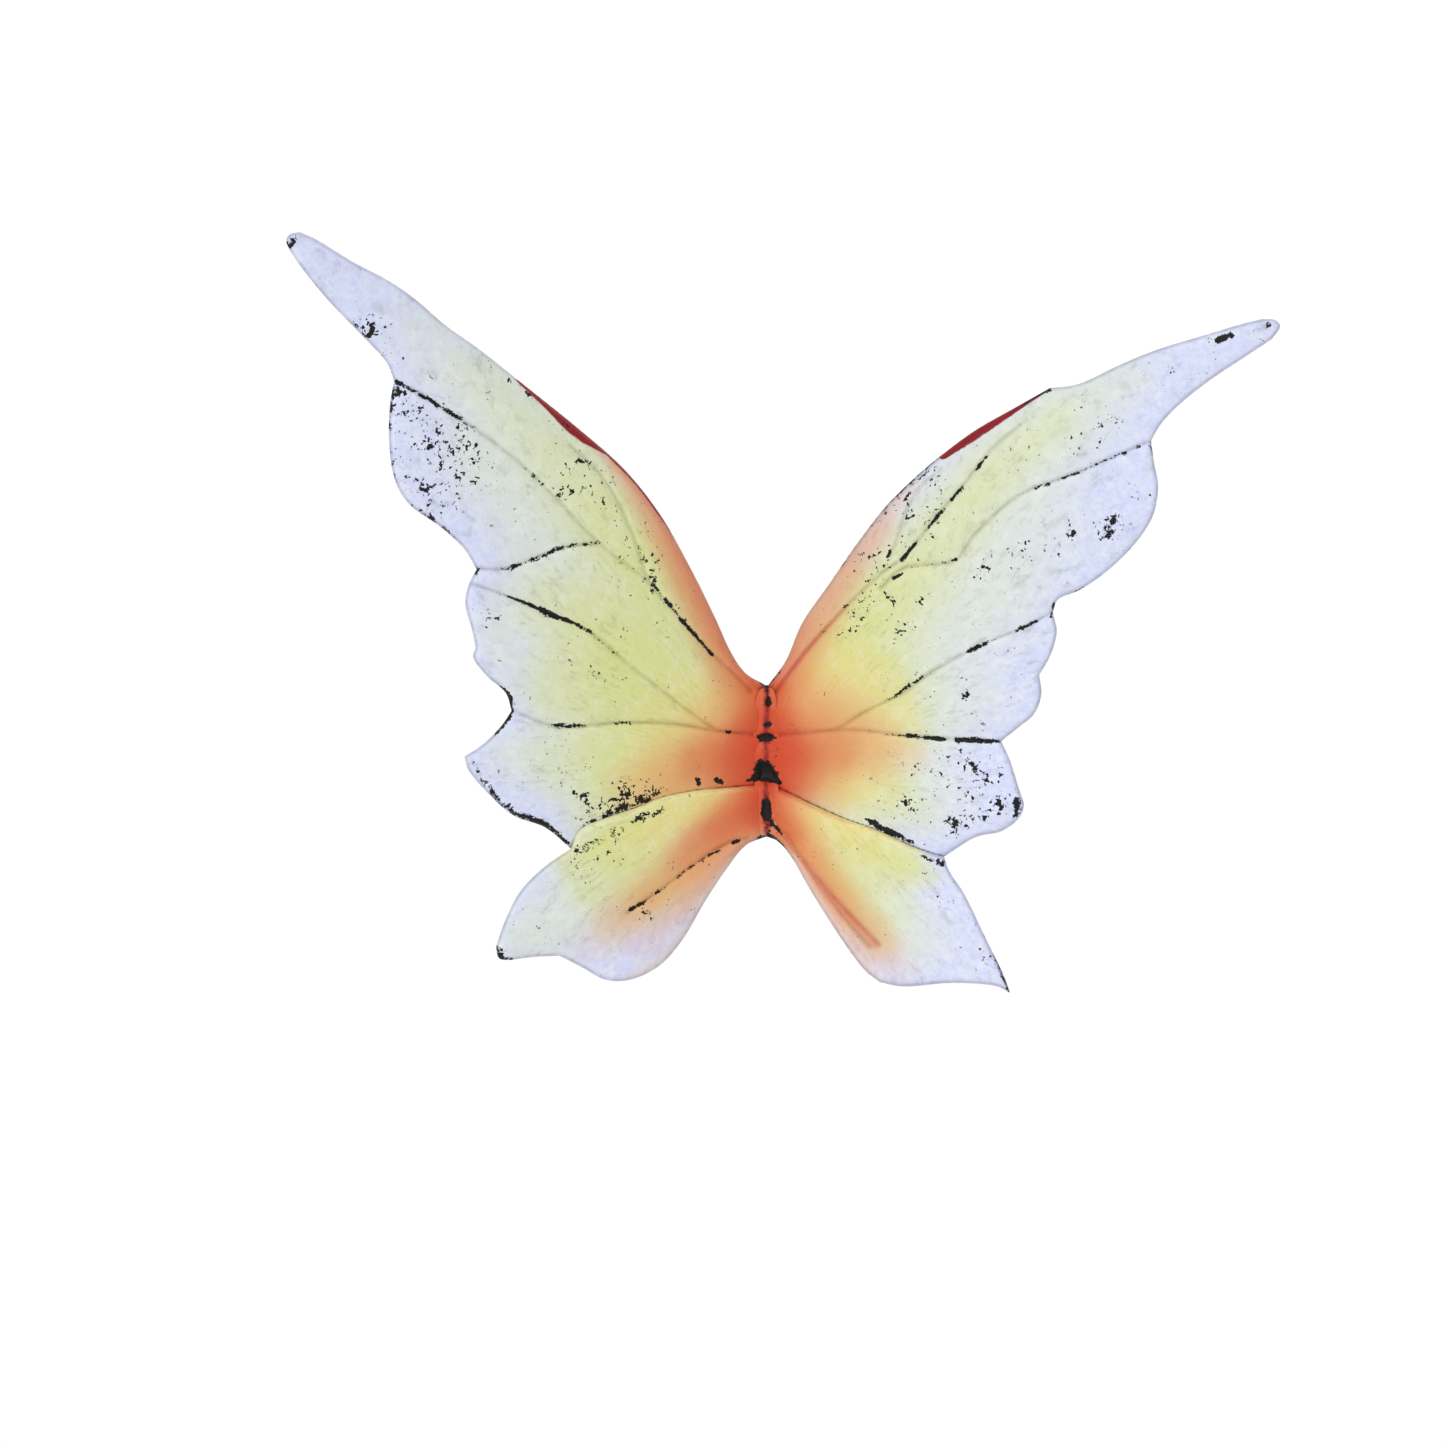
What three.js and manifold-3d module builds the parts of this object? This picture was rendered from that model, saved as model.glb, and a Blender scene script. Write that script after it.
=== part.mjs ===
// Fairy wings: a cast and hand-painted wing set that is glued and pinned to the back of a small figure.
//
// Millimetres. +Z is up. +X is to the right for someone who stands behind the figure.
// The origin is the centre of the flat glue face on the root block. The figure's back touches that
// face from the +Y side, and the painted, veined side of the wings faces -Y.
//
// Four castings (two forewings, two hindwings) plug into one root block with tenons. The upper edge
// of each hindwing laps over the lower edge of its forewing. An iron wire stiffens each casting, a
// bead of putty hides the seam where the castings meet, and two steel pins carry the set.

import * as THREE from 'three';
import { mergeVertices } from 'three/addons/utils/BufferGeometryUtils.js';
import Module from 'manifold-3d';

const wasm = await Module();
wasm.setup();

// ---------------------------------------------------------------------------------------------
// Driving dimensions
// ---------------------------------------------------------------------------------------------

// Overall size. The outlines further down are drawn for DRAWN_SPAN and DRAWN_HEIGHT, and they are
// stretched from there to the sizes asked for.
const WINGSPAN = 96.9; // left tip to right tip
const WING_HEIGHT = 74.4; // top of the left tip to the bottom of the right tail
const DRAWN_SPAN = 96.9;
const DRAWN_HEIGHT = 74.4;

// Lie of the wings
const ROOT_DEPTH = 6.0; // glue face to the middle of the forewing casting at the seam
const SWEEP_DEGREES = 24; // how far each wing leans back from the figure
const FLATTENING = 0.002; // per mm, how the lean fades towards the tip
const CUPPING = 0.001; // per mm, how the top and bottom curl back

// Castings
const FOREWING_THICKNESS = 2.4;
const HINDWING_THICKNESS = 2.2;
const TIP_THINNING = 0.013; // mm of thickness lost on each side for each mm away from the seam
const THINNEST_SIDE = 0.5; // half the thickness at the thinnest place
const HINDWING_PROUD = 1.0; // how far the hindwing stands above the forewing that it laps
const LAP_WIDTH = 2.6; // how far the forewing reaches under the hindwing
const LAP_TOP = -1.9; // height of the lap line at the seam, as drawn
const VEIN_RADIUS = 0.4; // half-round grooves that part the panels
const VEIN_SIDES = 6;

// Clearances
const SEAM_GAP = 0.3; // left castings to right castings
const LAP_GAP = 0.3; // hindwing to forewing, and putty to castings
const SEAT_GAP = 0.3; // castings to root block
const FIT_GAP = 0.2; // tenon to mortise
const WIRE_GAP = 0.15; // wire to the channel around it
const PIN_GAP = 0.1; // pin to the hole around it

// Root block
const BLOCK_WIDTH = 9.4;
const BLOCK_HEIGHT = 14.0;
const BLOCK_CHAMFER = 1.2;

// Tenons
const TENON_WIDTH = 2.3;
const TENON_HEIGHT = 2.6;
const TENON_OFFSET = 2.6; // seam to the middle of a tenon
const FORE_TENON_RISE = 3.7; // centre to the middle of a forewing tenon
const HIND_TENON_DROP = 4.9; // centre to the middle of a hindwing tenon
const MORTISE_FLOOR = 1.2; // material left between a mortise and the glue face

// Wires
const WIRE_DIAMETER = 0.8;
const WIRE_SIDES = 8;
const WIRE_BEND = 0.8; // size of the bend between the tenon and the wing
const WIRE_END_COVER = 0.3; // the wire stops this far short of the tenon's end and of its channel

// Pins
const PIN_DIAMETER = 1.6;
const PIN_INSIDE = 3.0;
const PIN_OUTSIDE = 5.0;
const PIN_RISE = 4.0; // centre of the glue face to each pin
const PIN_CHAMFER = 0.3;
const PIN_SIDES = 24;

// Putty bead over the seam
const BEAD_WIDTH = 2.6;
const BEAD_HEIGHT = 0.7;
const BEAD_TOP = 7.3;
const BEAD_BOTTOM = -6.6;
const BEAD_SHOULDER = 1.0; // length of the step down from the hindwings' level to the forewings'
const KNUCKLE_RADIUS = 1.0;
const KNUCKLE_FLATNESS = 0.5; // height of a lump over its radius
const KNUCKLE_HEIGHTS = [5.2, 3.4, 1.0, -2.7, -5.6];
const PIT_RADIUS = 0.42;
const PIT_HEIGHTS = [6.3, 4.3, 2.4, -0.8, -4.2];

// Fineness of the surface
const SAME_POINT = 1e-3; // outline points closer than this are one
const SAME_VERTEX = 1e-4;
const CELL = 4.0; // size of a facet on the broad faces
const STEPS_PER_POINT = 2; // facets between two outline points
const BORE_OVERRUN = 1.0; // how far a cutter runs past the face it opens

// ---------------------------------------------------------------------------------------------
// Outlines, seen from behind the figure: [x, z] pairs, each list one smooth run between corners
// ---------------------------------------------------------------------------------------------

const LEFT = {
  side: -1,
  forewing: [
    // leading edge, root to tip
    [[-0.15, 8.0], [-2.1, 9.2], [-3.6, 11.4], [-5.2, 14.9], [-7.6, 19.7], [-10.5, 24.8], [-14.0, 29.2],
      [-18.4, 33.1], [-24.3, 37.8], [-31.5, 43.2], [-36.9, 47.4], [-43.8, 51.3], [-45.6, 52.1]],
    // blunt tip
    [[-45.6, 52.1], [-46.5, 51.9], [-46.9, 51.2], [-46.5, 50.2]],
    // trailing edge, lobe by lobe
    [[-46.5, 50.2], [-42.7, 45.3], [-39.8, 42.3], [-37.3, 39.6], [-36.5, 37.7]],
    [[-36.5, 37.7], [-37.0, 31.9], [-36.5, 28.2], [-35.0, 25.6], [-32.1, 23.5], [-29.8, 21.4], [-28.5, 19.3]],
    [[-28.5, 19.3], [-29.6, 15.8], [-28.6, 11.6]],
    [[-28.6, 11.6], [-28.8, 10.5], [-25.7, 7.2], [-25.1, 5.4]],
    [[-25.1, 5.4], [-27.9, 2.1], [-29.7, 0.9]],
    [[-29.7, 0.9], [-29.2, -0.6], [-27.2, -2.9], [-24.9, -4.9], [-21.8, -6.1], [-19.3, -8.2]],
  ],
  lap: [[-19.3, -8.2], [-18.4, -6.3], [-16.0, -5.2], [-13.0, -4.2], [-10.5, -3.2], [-7.1, -2.5], [-3.6, -2.2],
    [-0.15, -1.9]],
  hindwing: [
    [[-19.3, -8.2], [-21.8, -9.9], [-24.2, -12.3], [-25.7, -15.2], [-26.6, -17.8]],
    [[-26.6, -17.8], [-26.3, -18.9], [-25.3, -19.1]],
    [[-25.3, -19.1], [-22.8, -18.8], [-20.4, -18.7]],
    [[-20.4, -18.7], [-18.1, -19.9], [-15.9, -21.1], [-13.3, -21.1], [-10.5, -19.7], [-8.2, -17.1],
      [-6.1, -13.5], [-3.9, -10.2], [-2.1, -8.0], [-0.15, -7.1]],
  ],
  forewingVeins: [
    [[-1.4, 7.3], [-5.6, 11.3], [-8.6, 14.7], [-11.5, 18.1], [-12.8, 21.8], [-16.4, 28.7], [-19.4, 31.6]],
    [[-16.4, 21.8], [-20.4, 25.9], [-27.2, 32.0], [-36.0, 37.4]],
    [[-19.4, 21.6], [-22.3, 20.6], [-28.0, 19.3]],
    [[-7.6, 5.3], [-14.5, 10.7], [-21.3, 14.9], [-28.8, 17.8]],
    [[-2.4, 3.2], [-9.5, 4.1], [-20.4, 3.8], [-24.9, 5.3]],
  ],
  hindwingVeins: [[[-3.8, -7.7], [-6.6, -9.4], [-10.5, -12.3], [-13.7, -14.5]]],
  forewingWire: [[-3.6, 8.6], [-5.9, 12.9], [-8.7, 17.9], [-12.3, 23.4], [-16.5, 28.6]],
  hindwingWire: [[-5.2, -6.4], [-8.8, -9.2], [-13.2, -11.8], [-18.0, -14.4]],
};

const RIGHT = {
  side: 1,
  forewing: [
    [[0.15, 7.9], [2.0, 10.5], [3.6, 14.2], [6.3, 18.1], [9.0, 22.0], [11.7, 25.5], [14.5, 28.3],
      [17.1, 30.5]],
    [[17.1, 30.5], [20.5, 33.0], [24.4, 35.2], [27.8, 37.1]],
    [[27.8, 37.1], [30.7, 37.5], [34.6, 39.3], [42.8, 42.1], [48.3, 43.6]],
    [[48.3, 43.6], [49.5, 43.5], [50.0, 42.8], [49.2, 41.6]],
    [[49.2, 41.6], [43.3, 37.7], [40.4, 35.4], [38.6, 33.5], [37.6, 31.8]],
    [[37.6, 31.8], [38.3, 27.3], [37.8, 24.5], [36.1, 21.8], [33.5, 19.2], [30.8, 17.3], [28.7, 16.4],
      [28.1, 15.1]],
    [[28.1, 15.1], [28.5, 13.1], [27.9, 10.9], [26.8, 8.9]],
    [[26.8, 8.9], [27.0, 7.0], [26.3, 5.1], [23.1, 2.4]],
    [[23.1, 2.4], [24.8, -2.2], [25.3, -3.9], [24.7, -5.3], [23.0, -6.5], [20.5, -7.1], [17.5, -9.0]],
  ],
  lap: [[17.5, -9.0], [14.7, -8.1], [11.2, -6.5], [7.8, -5.3], [4.8, -4.0], [1.9, -2.6], [0.15, -1.9]],
  hindwing: [
    [[17.5, -9.0], [18.0, -10.4], [19.6, -12.9], [21.5, -16.9], [23.2, -20.4], [23.9, -22.3]],
    [[23.9, -22.3], [22.2, -21.6], [18.1, -21.4], [13.7, -21.8], [11.2, -21.4]],
    [[11.2, -21.4], [9.5, -20.0], [7.3, -17.0], [4.5, -12.6], [2.5, -9.1], [1.2, -7.6], [0.15, -7.1]],
  ],
  forewingVeins: [
    [[1.4, 8.3], [4.5, 12.0], [7.8, 15.6], [13.7, 20.7], [19.3, 27.5], [24.9, 33.5]],
    [[14.5, 19.7], [18.4, 20.1], [23.4, 25.5], [29.8, 28.5], [37.2, 31.6]],
    [[8.2, 4.4], [13.2, 7.0], [21.3, 11.9], [27.8, 15.0]],
    [[2.4, 3.1], [8.3, 3.5], [13.2, 3.0], [22.8, 2.4]],
  ],
  hindwingVeins: [[[2.6, -8.2], [3.8, -9.8], [7.3, -13.8], [11.2, -17.8]]],
  forewingWire: [[3.2, 8.6], [5.3, 13.6], [8.6, 18.2], [12.7, 22.8], [17.6, 27.8]],
  hindwingWire: [[5.4, -7.2], [9.0, -10.8], [13.2, -14.4], [17.6, -17.4]],
};

const X_STRETCH = WINGSPAN / DRAWN_SPAN;
const Z_STRETCH = WING_HEIGHT / DRAWN_HEIGHT;

const SEAM_POINT = 0.2; // points drawn nearer to the middle than this lie on the seam

// A drawn point in the asked-for size. Points on the seam keep their distance from the middle.
function place([x, z]) {
  const edge = (Math.sign(x) * SEAM_GAP) / 2;
  const onSeam = Math.abs(x) < SEAM_POINT;
  return new THREE.Vector2(onSeam ? edge : x * X_STRETCH, z * Z_STRETCH);
}

// ---------------------------------------------------------------------------------------------
// Solids
// ---------------------------------------------------------------------------------------------

function solid(geometry) {
  const bare = geometry.clone();
  bare.deleteAttribute('normal');
  bare.deleteAttribute('uv');
  const merged = mergeVertices(bare, SAME_VERTEX);
  const mesh = new wasm.Mesh({
    numProp: 3,
    vertProperties: merged.attributes.position.array,
    triVerts: Uint32Array.from(merged.index.array),
  });
  return new wasm.Manifold(mesh);
}

function surface(manifold) {
  const { vertProperties, triVerts } = manifold.getMesh();
  const geometry = new THREE.BufferGeometry();
  geometry.setAttribute('position', new THREE.BufferAttribute(vertProperties, 3));
  geometry.setIndex(new THREE.BufferAttribute(triVerts, 1));
  const flat = geometry.toNonIndexed();
  flat.computeVertexNormals();
  return flat;
}

function box(width, depth, height, x, y, z) {
  return solid(new THREE.BoxGeometry(width, depth, height).translate(x, y, z));
}

// A prism that stands on an outline in the XZ plane and runs from y = front back to y = front - depth.
function prism(points, front, depth) {
  const shape = new THREE.Shape(points);
  const geometry = new THREE.ExtrudeGeometry(shape, { depth, bevelEnabled: false });
  return solid(geometry.rotateX(Math.PI / 2).translate(0, front, 0));
}

// A prism that stands on an outline in the XY plane and runs from z = bottom up to z = top.
function column(points, bottom, top) {
  const shape = new THREE.Shape(points.map(([x, y]) => new THREE.Vector2(x, y)));
  const geometry = new THREE.ExtrudeGeometry(shape, { depth: top - bottom, bevelEnabled: false });
  return solid(geometry.translate(0, 0, bottom));
}

// A smooth route that is sampled at its own points and halfway between them.
class Route extends THREE.CatmullRomCurve3 {
  getPointAt(u, target) {
    return this.getPoint(u, target);
  }

  getTangentAt(u, target) {
    return this.getTangent(u, target);
  }
}

// A round bar along a route.
function bar(points, radius, sides) {
  const corners = [];
  for (let i = 0; i < sides; i += 1) {
    const angle = (2 * Math.PI * i) / sides;
    corners.push(new THREE.Vector2(radius * Math.cos(angle), radius * Math.sin(angle)));
  }
  const steps = (points.length - 1) * STEPS_PER_POINT;
  const extrudePath = new Route(points);
  return solid(new THREE.ExtrudeGeometry(new THREE.Shape(corners), { steps, extrudePath }));
}

// ---------------------------------------------------------------------------------------------
// The lie of the castings
// ---------------------------------------------------------------------------------------------

const SWEEP = Math.tan(THREE.MathUtils.degToRad(SWEEP_DEGREES));

// Middle of the forewing casting. Every other level is measured from here.
function middle(x, z) {
  const out = Math.abs(x);
  return -(ROOT_DEPTH + SWEEP * out - FLATTENING * out * out + CUPPING * z * z);
}

function halfThickness(thickness, x) {
  return Math.max(thickness / 2 - TIP_THINNING * Math.abs(x), THINNEST_SIDE);
}

const FOREWING = {
  back: (x, z) => middle(x, z) - halfThickness(FOREWING_THICKNESS, x),
  front: (x, z) => middle(x, z) + halfThickness(FOREWING_THICKNESS, x),
};

const HINDWING = {
  back: (x, z) => FOREWING.back(x, z) - HINDWING_PROUD,
  front: (x, z) => FOREWING.back(x, z) - HINDWING_PROUD + 2 * halfThickness(HINDWING_THICKNESS, x),
};

function between(level, share) {
  return (x, z) => THREE.MathUtils.lerp(level.front(x, z), level.back(x, z), share);
}

// The slab that a wing is cut from, a little larger than any wing on its side of the seam
const SLAB_WIDTH = 0.6 * WINGSPAN;
const SLAB_HEIGHT = 1.2 * WING_HEIGHT;
const SLAB_CENTRE = 0.24 * WING_HEIGHT;

// A block of facets whose two broad faces follow the given front and back levels.
function bentSlab(side, front, back) {
  const columns = Math.ceil(SLAB_WIDTH / CELL);
  const rows = Math.ceil(SLAB_HEIGHT / CELL);
  const geometry = new THREE.BoxGeometry(SLAB_WIDTH, 1, SLAB_HEIGHT, columns, 1, rows);
  geometry.translate((side * SLAB_WIDTH) / 2, 0, SLAB_CENTRE);
  const position = geometry.attributes.position;
  for (let i = 0; i < position.count; i += 1) {
    const x = position.getX(i);
    const z = position.getZ(i);
    const level = position.getY(i) > 0 ? front : back;
    position.setY(i, level(x, z));
  }
  return solid(geometry);
}

// ---------------------------------------------------------------------------------------------
// Outline helpers
// ---------------------------------------------------------------------------------------------

function smooth(run) {
  const curve = new THREE.SplineCurve(run.map(place));
  return curve.getPoints((run.length - 1) * STEPS_PER_POINT);
}

function join(...paths) {
  const points = [];
  for (const point of paths.flat()) {
    const last = points.at(-1);
    if (!last || last.distanceTo(point) > SAME_POINT) points.push(point);
  }
  if (points[0].distanceTo(points.at(-1)) < SAME_POINT) points.pop();
  return points;
}

// The path moved sideways by a distance, to its left as it runs.
function shifted(path, distance) {
  return path.map((point, i) => {
    const before = path[Math.max(i - 1, 0)];
    const after = path[Math.min(i + 1, path.length - 1)];
    const along = after.clone().sub(before).normalize();
    return new THREE.Vector2(point.x - along.y * distance, point.y + along.x * distance);
  });
}

// The forewing's lower edge. It reaches under the hindwing by LAP_WIDTH, but over the root block,
// where the hindwing is as thick as both, it stops short of the lap line.
function lowerEdge(design) {
  const foot = BLOCK_WIDTH / 2 + SEAT_GAP;
  const line = smooth(design.lap).slice(1);
  const outer = line.filter(({ x }) => Math.abs(x) > foot);
  const inner = shifted(line, -design.side * LAP_GAP).filter(({ x }) => Math.abs(x) <= foot);
  inner.at(-1).x = line.at(-1).x;
  const lowered = outer.map(({ x, y }) => new THREE.Vector2(x, y - LAP_WIDTH));
  const corner = [lowered.at(-1).y, inner[0].y].map((y) => new THREE.Vector2(design.side * foot, y));
  return [...lowered, ...corner, ...inner];
}

// ---------------------------------------------------------------------------------------------
// Tenons, wires and pins
// ---------------------------------------------------------------------------------------------

const TENON_END = -MORTISE_FLOOR - FIT_GAP;
const WIRE_END = TENON_END - WIRE_END_COVER;

function tenon(side, height, level, grow) {
  const end = TENON_END + grow;
  const x = side * TENON_OFFSET;
  const start = between(level, 0.5)(x, height);
  const width = TENON_WIDTH + 2 * grow;
  return box(width, end - start, TENON_HEIGHT + 2 * grow, x, (start + end) / 2, height);
}

// Straight back through the tenon, round a bend inside the casting, then out along its thick part.
function wireRoute(side, height, level, run) {
  const core = between(level, 0.5);
  const x = side * TENON_OFFSET;
  const bend = new THREE.Vector3(x, core(x, height), height);
  const outward = run.map(place).map(({ x: u, y: w }) => new THREE.Vector3(u, core(u, w), w));
  const away = outward[0].clone().sub(bend).normalize();
  const toward = (back, out) => bend.clone().add(new THREE.Vector3(0, back, 0)).addScaledVector(away, out);
  const inner = WIRE_BEND * (1 - Math.SQRT1_2); // the middle of a quarter turn, from its corner
  const straight = [toward(WIRE_END - bend.y, 0), toward(2 * WIRE_BEND, 0), toward(WIRE_BEND, 0)];
  const curved = [toward(inner, inner), toward(0, WIRE_BEND), toward(0, 2 * WIRE_BEND)];
  return [...straight, ...curved, ...outward];
}

function wire(side, height, level, run) {
  return surface(bar(wireRoute(side, height, level, run), WIRE_DIAMETER / 2, WIRE_SIDES));
}

// The wire's route, opened past the tenon's end face and carried a little past the wire's far end.
function channel(side, height, level, run) {
  const route = wireRoute(side, height, level, run);
  const tail = route.at(-1);
  const lead = tail.clone().sub(route.at(-2)).setLength(WIRE_END_COVER);
  route.push(tail.clone().add(lead));
  route.unshift(route[0].clone().add(new THREE.Vector3(0, WIRE_END_COVER + BORE_OVERRUN, 0)));
  return bar(route, WIRE_DIAMETER / 2 + WIRE_GAP, WIRE_SIDES);
}

function groove(run, level) {
  const points = run.map(place).map(({ x, y: z }) => new THREE.Vector3(x, level.back(x, z), z));
  return bar(points, VEIN_RADIUS, VEIN_SIDES);
}

function pin(rise) {
  const radius = PIN_DIAMETER / 2;
  const profile = [
    [0, -PIN_INSIDE],
    [radius - PIN_CHAMFER, -PIN_INSIDE],
    [radius, -PIN_INSIDE + PIN_CHAMFER],
    [radius, PIN_OUTSIDE - PIN_CHAMFER],
    [radius - PIN_CHAMFER, PIN_OUTSIDE],
    [0, PIN_OUTSIDE],
  ].map(([x, y]) => new THREE.Vector2(x, y));
  return new THREE.LatheGeometry(profile, PIN_SIDES).translate(0, 0, rise);
}

function pinHole(rise) {
  const radius = PIN_DIAMETER / 2 + PIN_GAP;
  const depth = PIN_INSIDE + PIN_GAP;
  const hole = new THREE.CylinderGeometry(radius, radius, depth + BORE_OVERRUN, PIN_SIDES);
  return solid(hole.translate(0, (BORE_OVERRUN - depth) / 2, rise));
}

// ---------------------------------------------------------------------------------------------
// The pieces
// ---------------------------------------------------------------------------------------------

const PRISM_FRONT = 5;
const PRISM_DEPTH = 60;

function forewing(design) {
  const { side } = design;
  const outline = join(...design.forewing.map(smooth), lowerEdge(design));
  const slab = bentSlab(side, FOREWING.front, FOREWING.back);
  let piece = slab.intersect(prism(outline, PRISM_FRONT, PRISM_DEPTH));

  // Rebate for the hindwing, down to the hindwing's front face
  const lap = smooth(design.lap);
  const raised = shifted(lap, -side * LAP_GAP);
  const below = [
    new THREE.Vector2(raised.at(-1).x, lap.at(-1).y - 2 * LAP_WIDTH),
    new THREE.Vector2(lap[0].x, lap[0].y - 2 * LAP_WIDTH),
    new THREE.Vector2(lap[0].x + side * LAP_WIDTH, lap[0].y - LAP_WIDTH / 2),
  ];
  const rebate = prism(join(raised, below), PRISM_FRONT, PRISM_DEPTH);
  const reach = (x, z) => HINDWING.front(x, z) + LAP_GAP;
  const behind = (x, z) => HINDWING.back(x, z) - BORE_OVERRUN;
  piece = piece.subtract(bentSlab(side, reach, behind).intersect(rebate));

  piece = piece.add(tenon(side, FORE_TENON_RISE, FOREWING, 0));
  piece = piece.subtract(tenon(side, -HIND_TENON_DROP, HINDWING, SEAT_GAP));
  piece = piece.subtract(channel(side, FORE_TENON_RISE, FOREWING, design.forewingWire));
  for (const run of design.forewingVeins) piece = piece.subtract(groove(run, FOREWING));
  return surface(piece);
}

function hindwing(design) {
  const { side } = design;
  const outline = prism(
    join(...design.hindwing.map(smooth), smooth(design.lap).reverse()),
    PRISM_FRONT,
    PRISM_DEPTH,
  );
  let piece = bentSlab(side, HINDWING.front, HINDWING.back).intersect(outline);

  // Shoulder that fills the forewing's thickness where the hindwing rests on the root block
  const pad = box(BLOCK_WIDTH, PRISM_DEPTH, BLOCK_HEIGHT, 0, 0, 0).intersect(outline);
  piece = piece.add(bentSlab(side, FOREWING.front, between(HINDWING, 0.5)).intersect(pad));

  piece = piece.add(tenon(side, -HIND_TENON_DROP, HINDWING, 0));
  piece = piece.subtract(channel(side, -HIND_TENON_DROP, HINDWING, design.hindwingWire));
  for (const run of design.hindwingVeins) piece = piece.subtract(groove(run, HINDWING));
  return surface(piece);
}

// Cast boss between the castings and the figure. Its back is a V that all four castings lean on.
function rootBlock() {
  const half = BLOCK_WIDTH / 2;
  const seat = (x) => FOREWING.front(x, 0) + SEAT_GAP;
  const plan = [[-half, 0], [half, 0], [half, seat(half)], [0, seat(0)], [-half, seat(-half)]];
  let piece = column(plan, -BLOCK_HEIGHT / 2, BLOCK_HEIGHT / 2);

  const c = BLOCK_CHAMFER;
  const h = BLOCK_HEIGHT / 2;
  const face = [
    [-half + c, -h], [half - c, -h], [half, -h + c], [half, h - c],
    [half - c, h], [-half + c, h], [-half, h - c], [-half, -h + c],
  ].map(([x, z]) => new THREE.Vector2(x, z));
  piece = piece.intersect(prism(face, PRISM_FRONT, PRISM_DEPTH));

  for (const side of [-1, 1]) {
    piece = piece.subtract(tenon(side, FORE_TENON_RISE, FOREWING, FIT_GAP));
    piece = piece.subtract(tenon(side, -HIND_TENON_DROP, HINDWING, FIT_GAP));
  }
  for (const rise of [-PIN_RISE, PIN_RISE]) piece = piece.subtract(pinHole(rise));
  return surface(piece);
}

// Putty pressed into the valley between the castings, left lumpy, with deep pits between the lumps.
function seamBead() {
  const half = BEAD_WIDTH / 2;
  const lip = half - BEAD_HEIGHT / 3;
  const step = LAP_TOP * Z_STRETCH + LAP_GAP;
  const skin = (level, x) => level.back(x, 0) - LAP_GAP;
  const section = (under, over) => [
    [0, skin(under, 0)],
    [half, skin(under, half)],
    [lip, skin(over, lip) - BEAD_HEIGHT / 2],
    [0, skin(over, 0) - BEAD_HEIGHT],
    [-lip, skin(over, lip) - BEAD_HEIGHT / 2],
    [-half, skin(under, half)],
  ];
  const crest = (z) => skin(z > step + BEAD_SHOULDER ? FOREWING : HINDWING, 0) - BEAD_HEIGHT;
  let piece = column(section(FOREWING, FOREWING), step, BEAD_TOP);
  piece = piece.add(column(section(FOREWING, HINDWING), step, step + BEAD_SHOULDER));
  piece = piece.add(column(section(HINDWING, HINDWING), BEAD_BOTTOM, step + BEAD_SHOULDER / 2));
  for (const z of KNUCKLE_HEIGHTS) {
    const knuckle = new THREE.SphereGeometry(KNUCKLE_RADIUS, 12, 8).scale(1, KNUCKLE_FLATNESS, 1);
    piece = piece.add(solid(knuckle.translate(0, crest(z), z)));
  }
  for (const z of PIT_HEIGHTS) {
    const pit = new THREE.SphereGeometry(PIT_RADIUS, 8, 6);
    piece = piece.subtract(solid(pit.translate(0, crest(z), z)));
  }
  return surface(piece);
}

// ---------------------------------------------------------------------------------------------
// The assembly
// ---------------------------------------------------------------------------------------------

const RESIN_FORE = { color: 0xd4dab0, roughness: 0.55, metalness: 0 };
const RESIN_HIND = { color: 0xe0b883, roughness: 0.55, metalness: 0 };
const RESIN_ROOT = { color: 0xe0653f, roughness: 0.6, metalness: 0 };
const PUTTY = { color: 0xb03a24, roughness: 0.65, metalness: 0 };
const IRON = { color: 0x6b6a66, roughness: 0.5, metalness: 0.9 };
const STEEL = { color: 0xb4b6b8, roughness: 0.3, metalness: 1 };

const wings = new THREE.Group();

function add(name, geometry, finish) {
  const mesh = new THREE.Mesh(geometry, new THREE.MeshStandardMaterial(finish));
  mesh.name = name;
  wings.add(mesh);
}

for (const [name, design] of [['left', LEFT], ['right', RIGHT]]) {
  const { side } = design;
  add(`${name}_forewing`, forewing(design), RESIN_FORE);
  add(`${name}_hindwing`, hindwing(design), RESIN_HIND);
  add(`${name}_forewing_wire`, wire(side, FORE_TENON_RISE, FOREWING, design.forewingWire), IRON);
  add(`${name}_hindwing_wire`, wire(side, -HIND_TENON_DROP, HINDWING, design.hindwingWire), IRON);
}
add('root_block', rootBlock(), RESIN_ROOT);
add('seam_bead', seamBead(), PUTTY);
add('upper_mounting_pin', pin(PIN_RISE), STEEL);
add('lower_mounting_pin', pin(-PIN_RISE), STEEL);

export default wings;
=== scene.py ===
"""Fairy wings for the back of a small hand-painted figure, as they are put together at the bench.

A cast root block takes two steel pins. Four cast resin wings plug into it, each stiffened by an iron
wire: the forewings go on first, and the upper edge of each hindwing laps over its forewing. Putty fills
the seam between them. Lengths are in millimetres until a mesh is made. +Z is up, the figure stands on
the +Y side, and the painted backs of the wings face -Y.
"""

import math

import bmesh
import bpy
import numpy as np
from mathutils import Matrix, Vector, geometry


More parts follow.
